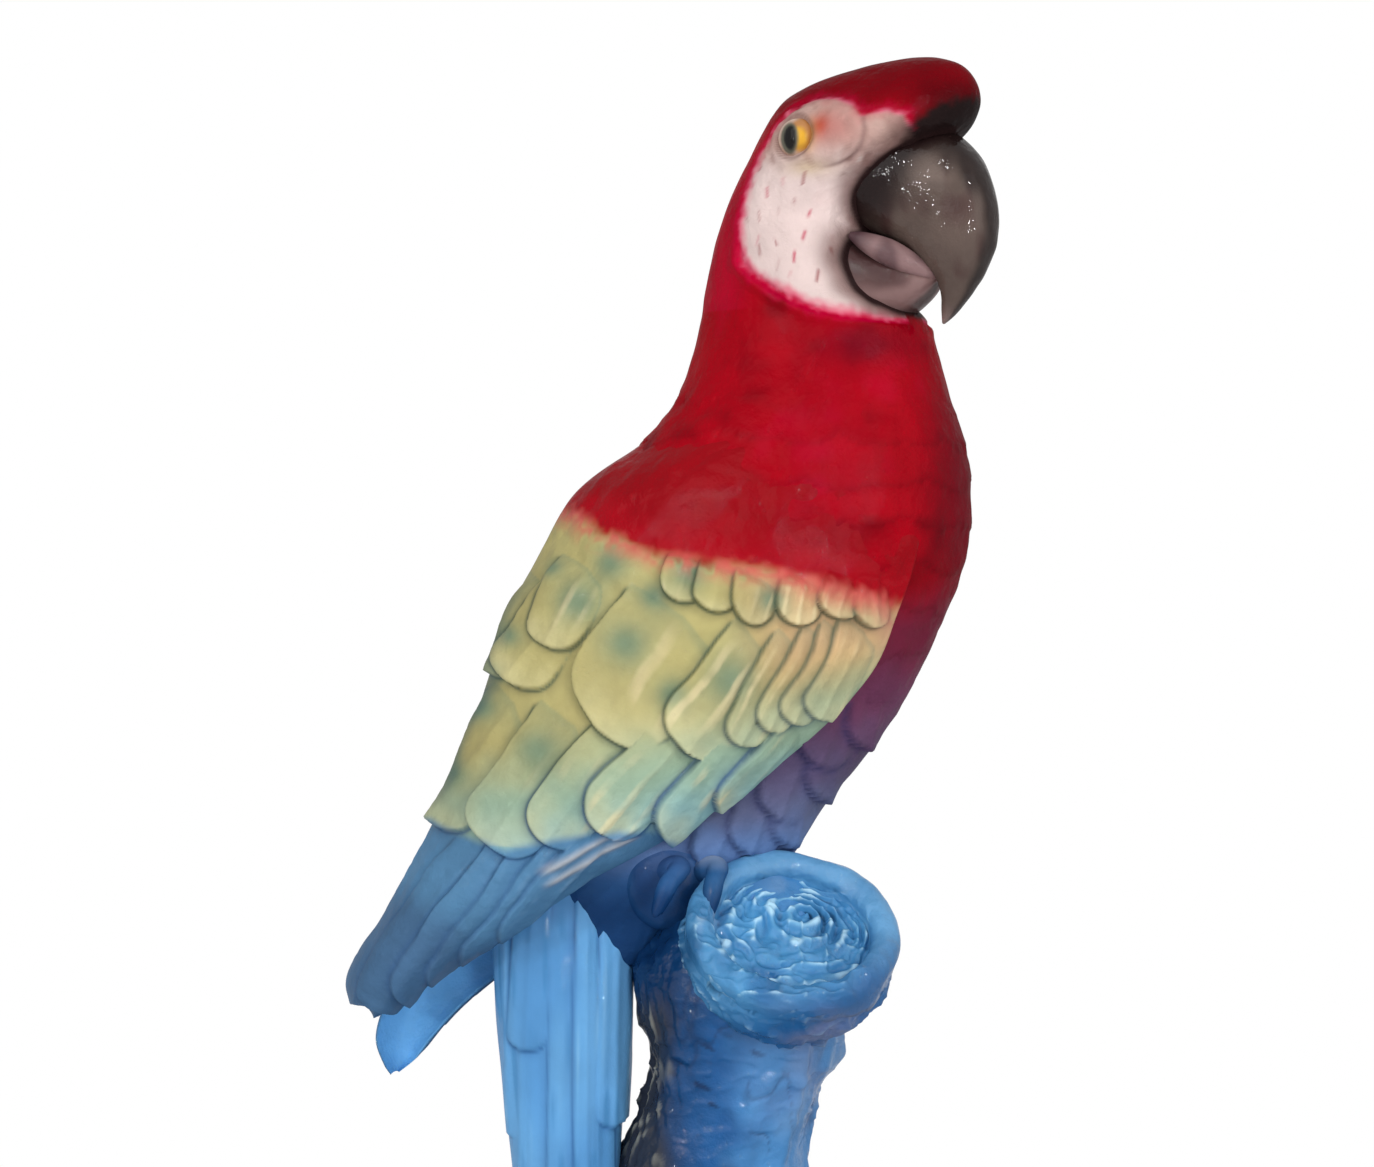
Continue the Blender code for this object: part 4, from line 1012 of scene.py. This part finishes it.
rows = curve_rows(BODY, 12)
turn = HEAD_TURN * np.clip(rows[:, 4], 0, 1)
middle, reach, depth = (rows[:, 1] + rows[:, 2]) / 2, (rows[:, 2] - rows[:, 1]) / 2, rows[:, 3]
length = np.sqrt(np.maximum(reach ** 2 - (depth * np.sin(turn)) ** 2, 1.0)) / np.cos(turn)
zero = np.zeros(len(rows))
places = oval_rings(np.stack([middle, -(middle - HEAD_AXIS) * np.tan(turn), rows[:, 0]], 1),
                    np.stack([np.cos(turn), -np.sin(turn), zero], 1) * length[:, None],
                    np.stack([np.sin(turn), np.cos(turn), zero], 1) * depth[:, None], BODY_POINTS, 2.15)
out = ring_normals(places)
forward, aside = from_head(places)
x, z = places[..., 0], places[..., 2]
on_skull = step(z, 330, 342)
side_on = step(np.abs(aside), 5, 12)
face = outline_distance(forward, z, FACE_EDGE)
lid = np.hypot(forward - EYE_FORWARD, (z - EYE_HEIGHT) * 1.05)
brow = np.hypot((forward - 14.6) / 12.5, (z - 384.4) / 10)
lift = 0.35 * lattice_noise(places, 16, 81) + 0.12 * lattice_noise(places, 5, 82)
lift += side_on * on_skull * (1.0 * (1 - step(brow, 0.72, 1.0)) - 0.5 * np.exp(-((brow - 1.08) / 0.09) ** 2))
lift += side_on * on_skull * (0.9 * np.exp(-((lid - 7.2) / 1.1) ** 2) - 1.6 * (1 - step(lid, 4.6, 6.4)))
behind_eye = step(EYE_FORWARD - forward, -2, 3) * np.exp(-((lid - 9.5) / 2) ** 2)
lift += side_on * on_skull * 0.35 * behind_eye * np.cos(lid * 2 * math.pi / 1.7)
low_fold = side_on * step(-z, -356, -348) * step(z, 326, 334)
lift += low_fold * (0.9 * np.exp(-((face - 2.2) / 1.6) ** 2) - 0.8 * np.exp(-(face / 0.8) ** 2))
leaning = places @ np.array([[1, 0, 0], [0, 1, 0], [0.5, 0, 1]])
wrinkle = lattice_noise(leaning * np.array([1, 1, 0.4]), 2.4, 83)
near_beak = step(forward, 22, 28) * (face < 0)
lift += (0.2 + 0.3 * near_beak) * wrinkle * (face < 0) * on_skull
girth = np.arctan2(aside, forward + 5) * 38
warp = lattice_noise(places, 15, 84)
lobe = scallops(girth + 4 * warp, z + 4 * lattice_noise(places, 17, 85), 15, 12)
plumage = (1 - step(z, 305, 330)) * step(z, 205, 225)
lobe_depth = 0.5 * step(lattice_noise(places, 20, 86), -0.2, 0.5)
lift += plumage * 0.4 * lattice_noise(places, 4.5, 90)
lift += plumage * lobe_depth * (lobe ** 2 - 0.3)
relief = blank_relief(x)
for number, (tip_x, tip_height, root_x, root_height, half_width) in enumerate(BELLY_FEATHERS):
    lay_feather(relief, x, z, (tip_x, tip_height), (root_x, root_height), half_width, -1.4, FEATHER_STEP, 0.8,
                number + 60, 1.1)
lift += np.clip(relief["rise"], 0, 3) * step(np.abs(places[..., 1]), 4, 10)
marks = {"lobe": lobe, "face": face, "lid": lid, "brow": brow, "forward": forward, "aside": aside,
         "crease": relief["crease"], "glaze_pool_and_shade": relief["glaze_pool_and_shade"], "wrinkle": wrinkle}
body = skin("body_and_head", places + out * lift[..., None], marks)
spots = corners(body)
x, y, z = spots.T
face, lid, brow = mark_values(body, "face"), mark_values(body, "lid"), mark_values(body, "brow")
forward, aside, lobe = mark_values(body, "forward"), mark_values(body, "aside"), mark_values(body, "lobe")
cloud = lattice_noise(spots, 13, 87) * 0.6 + lattice_noise(spots, 5, 88) * 0.4
fine = lattice_noise(spots, 1.6, 89)
colours = np.tile(WING_RED, (len(spots), 1))
brush(colours, glaze_colour(108, 0, 12), 0.7 * step(cloud, 0.0, 0.7))
brush(colours, glaze_colour(166, 4, 40), 0.4 * step(-cloud, 0.2, 0.8))
brush(colours, glaze_colour(104, 0, 10), 0.85 * step(z, 384, 398))
at_nape = (z > 335) * (1 - step(forward, -14, -2)) * (1 - step(z, 372, 392))
brush(colours, glaze_colour(172, 6, 44), 0.5 * at_nape)
at_brow = step(forward, 34, 50) * step(z, 380, 388) * (1 - step(z, 392, 402))
brush(colours, glaze_colour(44, 2, 6), 0.8 * at_brow)
# Darker maroon towards the front outline of the chest: painted shade where the breast turns away.
brush(colours, glaze_colour(96, 12, 26), 0.85 * step(x, 50, 68) * (1 - step(z, 305, 330)))
# A dark patch on the throat under the lower beak: painted shade.
brush(colours, glaze_colour(30, 8, 30), 0.35 * blot(forward, z, (26, 325), (12, 6)))
BELLY_BANDS = ((244, 262, (108, 32, 54)), (224, 244, (102, 54, 82)), (206, 226, (88, 76, 106)),
               (194, 208, (92, 98, 130)), (182, 196, (92, 122, 170)), (172, 184, (50, 92, 144)))
for low, high, colour in BELLY_BANDS:
    brush(colours, glaze_colour(*colour), 1 - step(z + 4 * cloud, low, high))
# Darker at the rims of the plumage lobes: painted shade.
brush(colours, glaze_colour(70, 0, 8), 0.25 * step(lobe, 0.8, 1.0) * (z > 235) * (1 - step(z, 290, 320)))
brush(colours, glaze_colour(16, 48, 90), 0.85 * step(-z + 3 * cloud, -182, -166) * (1 - step(x, 0, 8)))
# Dark lines and halos at the edges of the belly feathers: painted shade, with pooled glaze.
brush(colours, glaze_colour(40, 46, 88), 0.4 * mark_values(body, "crease"))
brush(colours, glaze_colour(56, 58, 100), 0.3 * mark_values(body, "glaze_pool_and_shade"))
skinned = (z > 331) & (np.abs(aside) > 4)
ragged = face + 0.9 * fine + 0.6 * cloud
magenta = 0.8 - 0.4 * step(z, 376, 388)
brush(colours, glaze_colour(182, 0, 54), magenta * skinned * (1 - step(ragged, 0.0, 3.4)))
brush(colours, glaze_colour(210, 96, 124), 0.75 * skinned * (1 - step(ragged, -1.2, 0.8)))
brush(colours, glaze_colour(208, 188, 184), skinned * (1 - step(ragged, -4.0, -0.2)))
in_face = skinned * (1 - step(face, -1.5, -0.2))
folds = mark_values(body, "wrinkle")
brush(colours, glaze_colour(196, 140, 140), 0.5 * in_face * step(cloud, 0.1, 0.8))
brush(colours, glaze_colour(176, 138, 126), 0.75 * in_face * step(z + 3 * cloud, 370, 382))
FACE_BLOTS = (
    ((178, 110, 104), 0.7, (20, 385), (6, 5)), ((168, 58, 36), 0.85, (15.5, 385.5), (2.6, 3.6)),
    ((204, 152, 66), 0.7, (12.6, 382.4), (1.8, 4.2)), ((180, 158, 112), 0.5, (12, 374), (6, 2.4)),
)
for colour, strength, middle, spread in FACE_BLOTS:
    brush(colours, glaze_colour(*colour), strength * in_face * blot(forward, z, middle, spread))
brow_line = np.exp(-((brow - 1.06) / 0.05) ** 2) * step(forward, 12, 20)
brush(colours, glaze_colour(104, 74, 72), 0.6 * in_face * brow_line)
brush(colours, glaze_colour(104, 76, 68), 0.5 * in_face * np.exp(-((lid - 6.3) / 0.5) ** 2))
by_beak = step(forward + 3 * cloud, 20, 28)
brush(colours, glaze_colour(120, 88, 80), 0.45 * in_face * step(folds, 0.3, 0.8) * by_beak)
brush(colours, glaze_colour(140, 104, 96), 0.35 * in_face * step(-folds, 0.3, 0.8) * step(z, 366, 376))
for number, (dash_forward, dash_height, slant) in enumerate(FACE_DASHES):
    along = z - dash_height + 0.5 * fine
    beside = forward - dash_forward - (0.3 * slant + 0.1 * math.sin(number * 5)) * along
    half = 1.0 + 0.9 * math.sin(number * 2.4) ** 2
    red = number % 3 == 1
    brush(colours, glaze_colour(176, 40, 76) if red else glaze_colour(142, 78, 80),
          (0.5 + 0.3 * math.sin(number * 3.7)) * in_face * (1 - step(np.abs(along), half - 0.6, half + 0.3))
          * (1 - step(np.abs(beside), 0.1, 0.65)))
leaning = spots @ np.array([[1, 0, 0.35], [0, 1, 0], [-0.35, 0, 1]])
scratch = lattice_noise(leaning * np.array([1, 1, 0.22]), 1.5, 91)
crow = step(forward + 2 * cloud, 17, 25) * step(z, 352, 360) * (1 - step(z, 374, 382))
brush(colours, glaze_colour(112, 78, 70), 0.7 * in_face * crow * step(scratch, 0.12, 0.45))
brush(colours, glaze_colour(230, 218, 212), 0.7 * in_face * crow * step(-scratch, 0.25, 0.6))
finished = bpy.context.evaluated_depsgraph_get()
beak_trees = [BVHTree.FromObject(piece, finished) for piece in (upper_beak, lower_beak)]
beak_gap = np.full(len(spots), 99.0)
for index in np.nonzero((z > 325) & (forward > 0))[0]:
    spot = Vector(spots[index] * MM)
    beak_gap[index] = min(tree.find_nearest(spot)[3] for tree in beak_trees) / MM
cere = outline_distance(forward, z, CERE_EDGE)
brush(colours, glaze_colour(112, 84, 80), 0.85 * in_face * (1 - step(beak_gap + 1.5 * cloud, 2.5, 8.5)))
brush(colours, glaze_colour(100, 76, 72), 0.85 * in_face * (1 - step(cere + 1.2 * cloud, 0.5, 7)))
brush(colours, glaze_colour(30, 20, 20), (z > 372) * (1 - step(cere + 0.8 * fine + 0.8 * cloud, -1.2, 2.0)))
brush(colours, glaze_colour(40, 26, 26), 1 - step(beak_gap + 0.8 * cloud, 1.0, 3.4))
body_glaze = glaze("body_glaze", 0.12, 0.9, 0.22, 0.08)
finish_piece(body, colours, body_glaze)
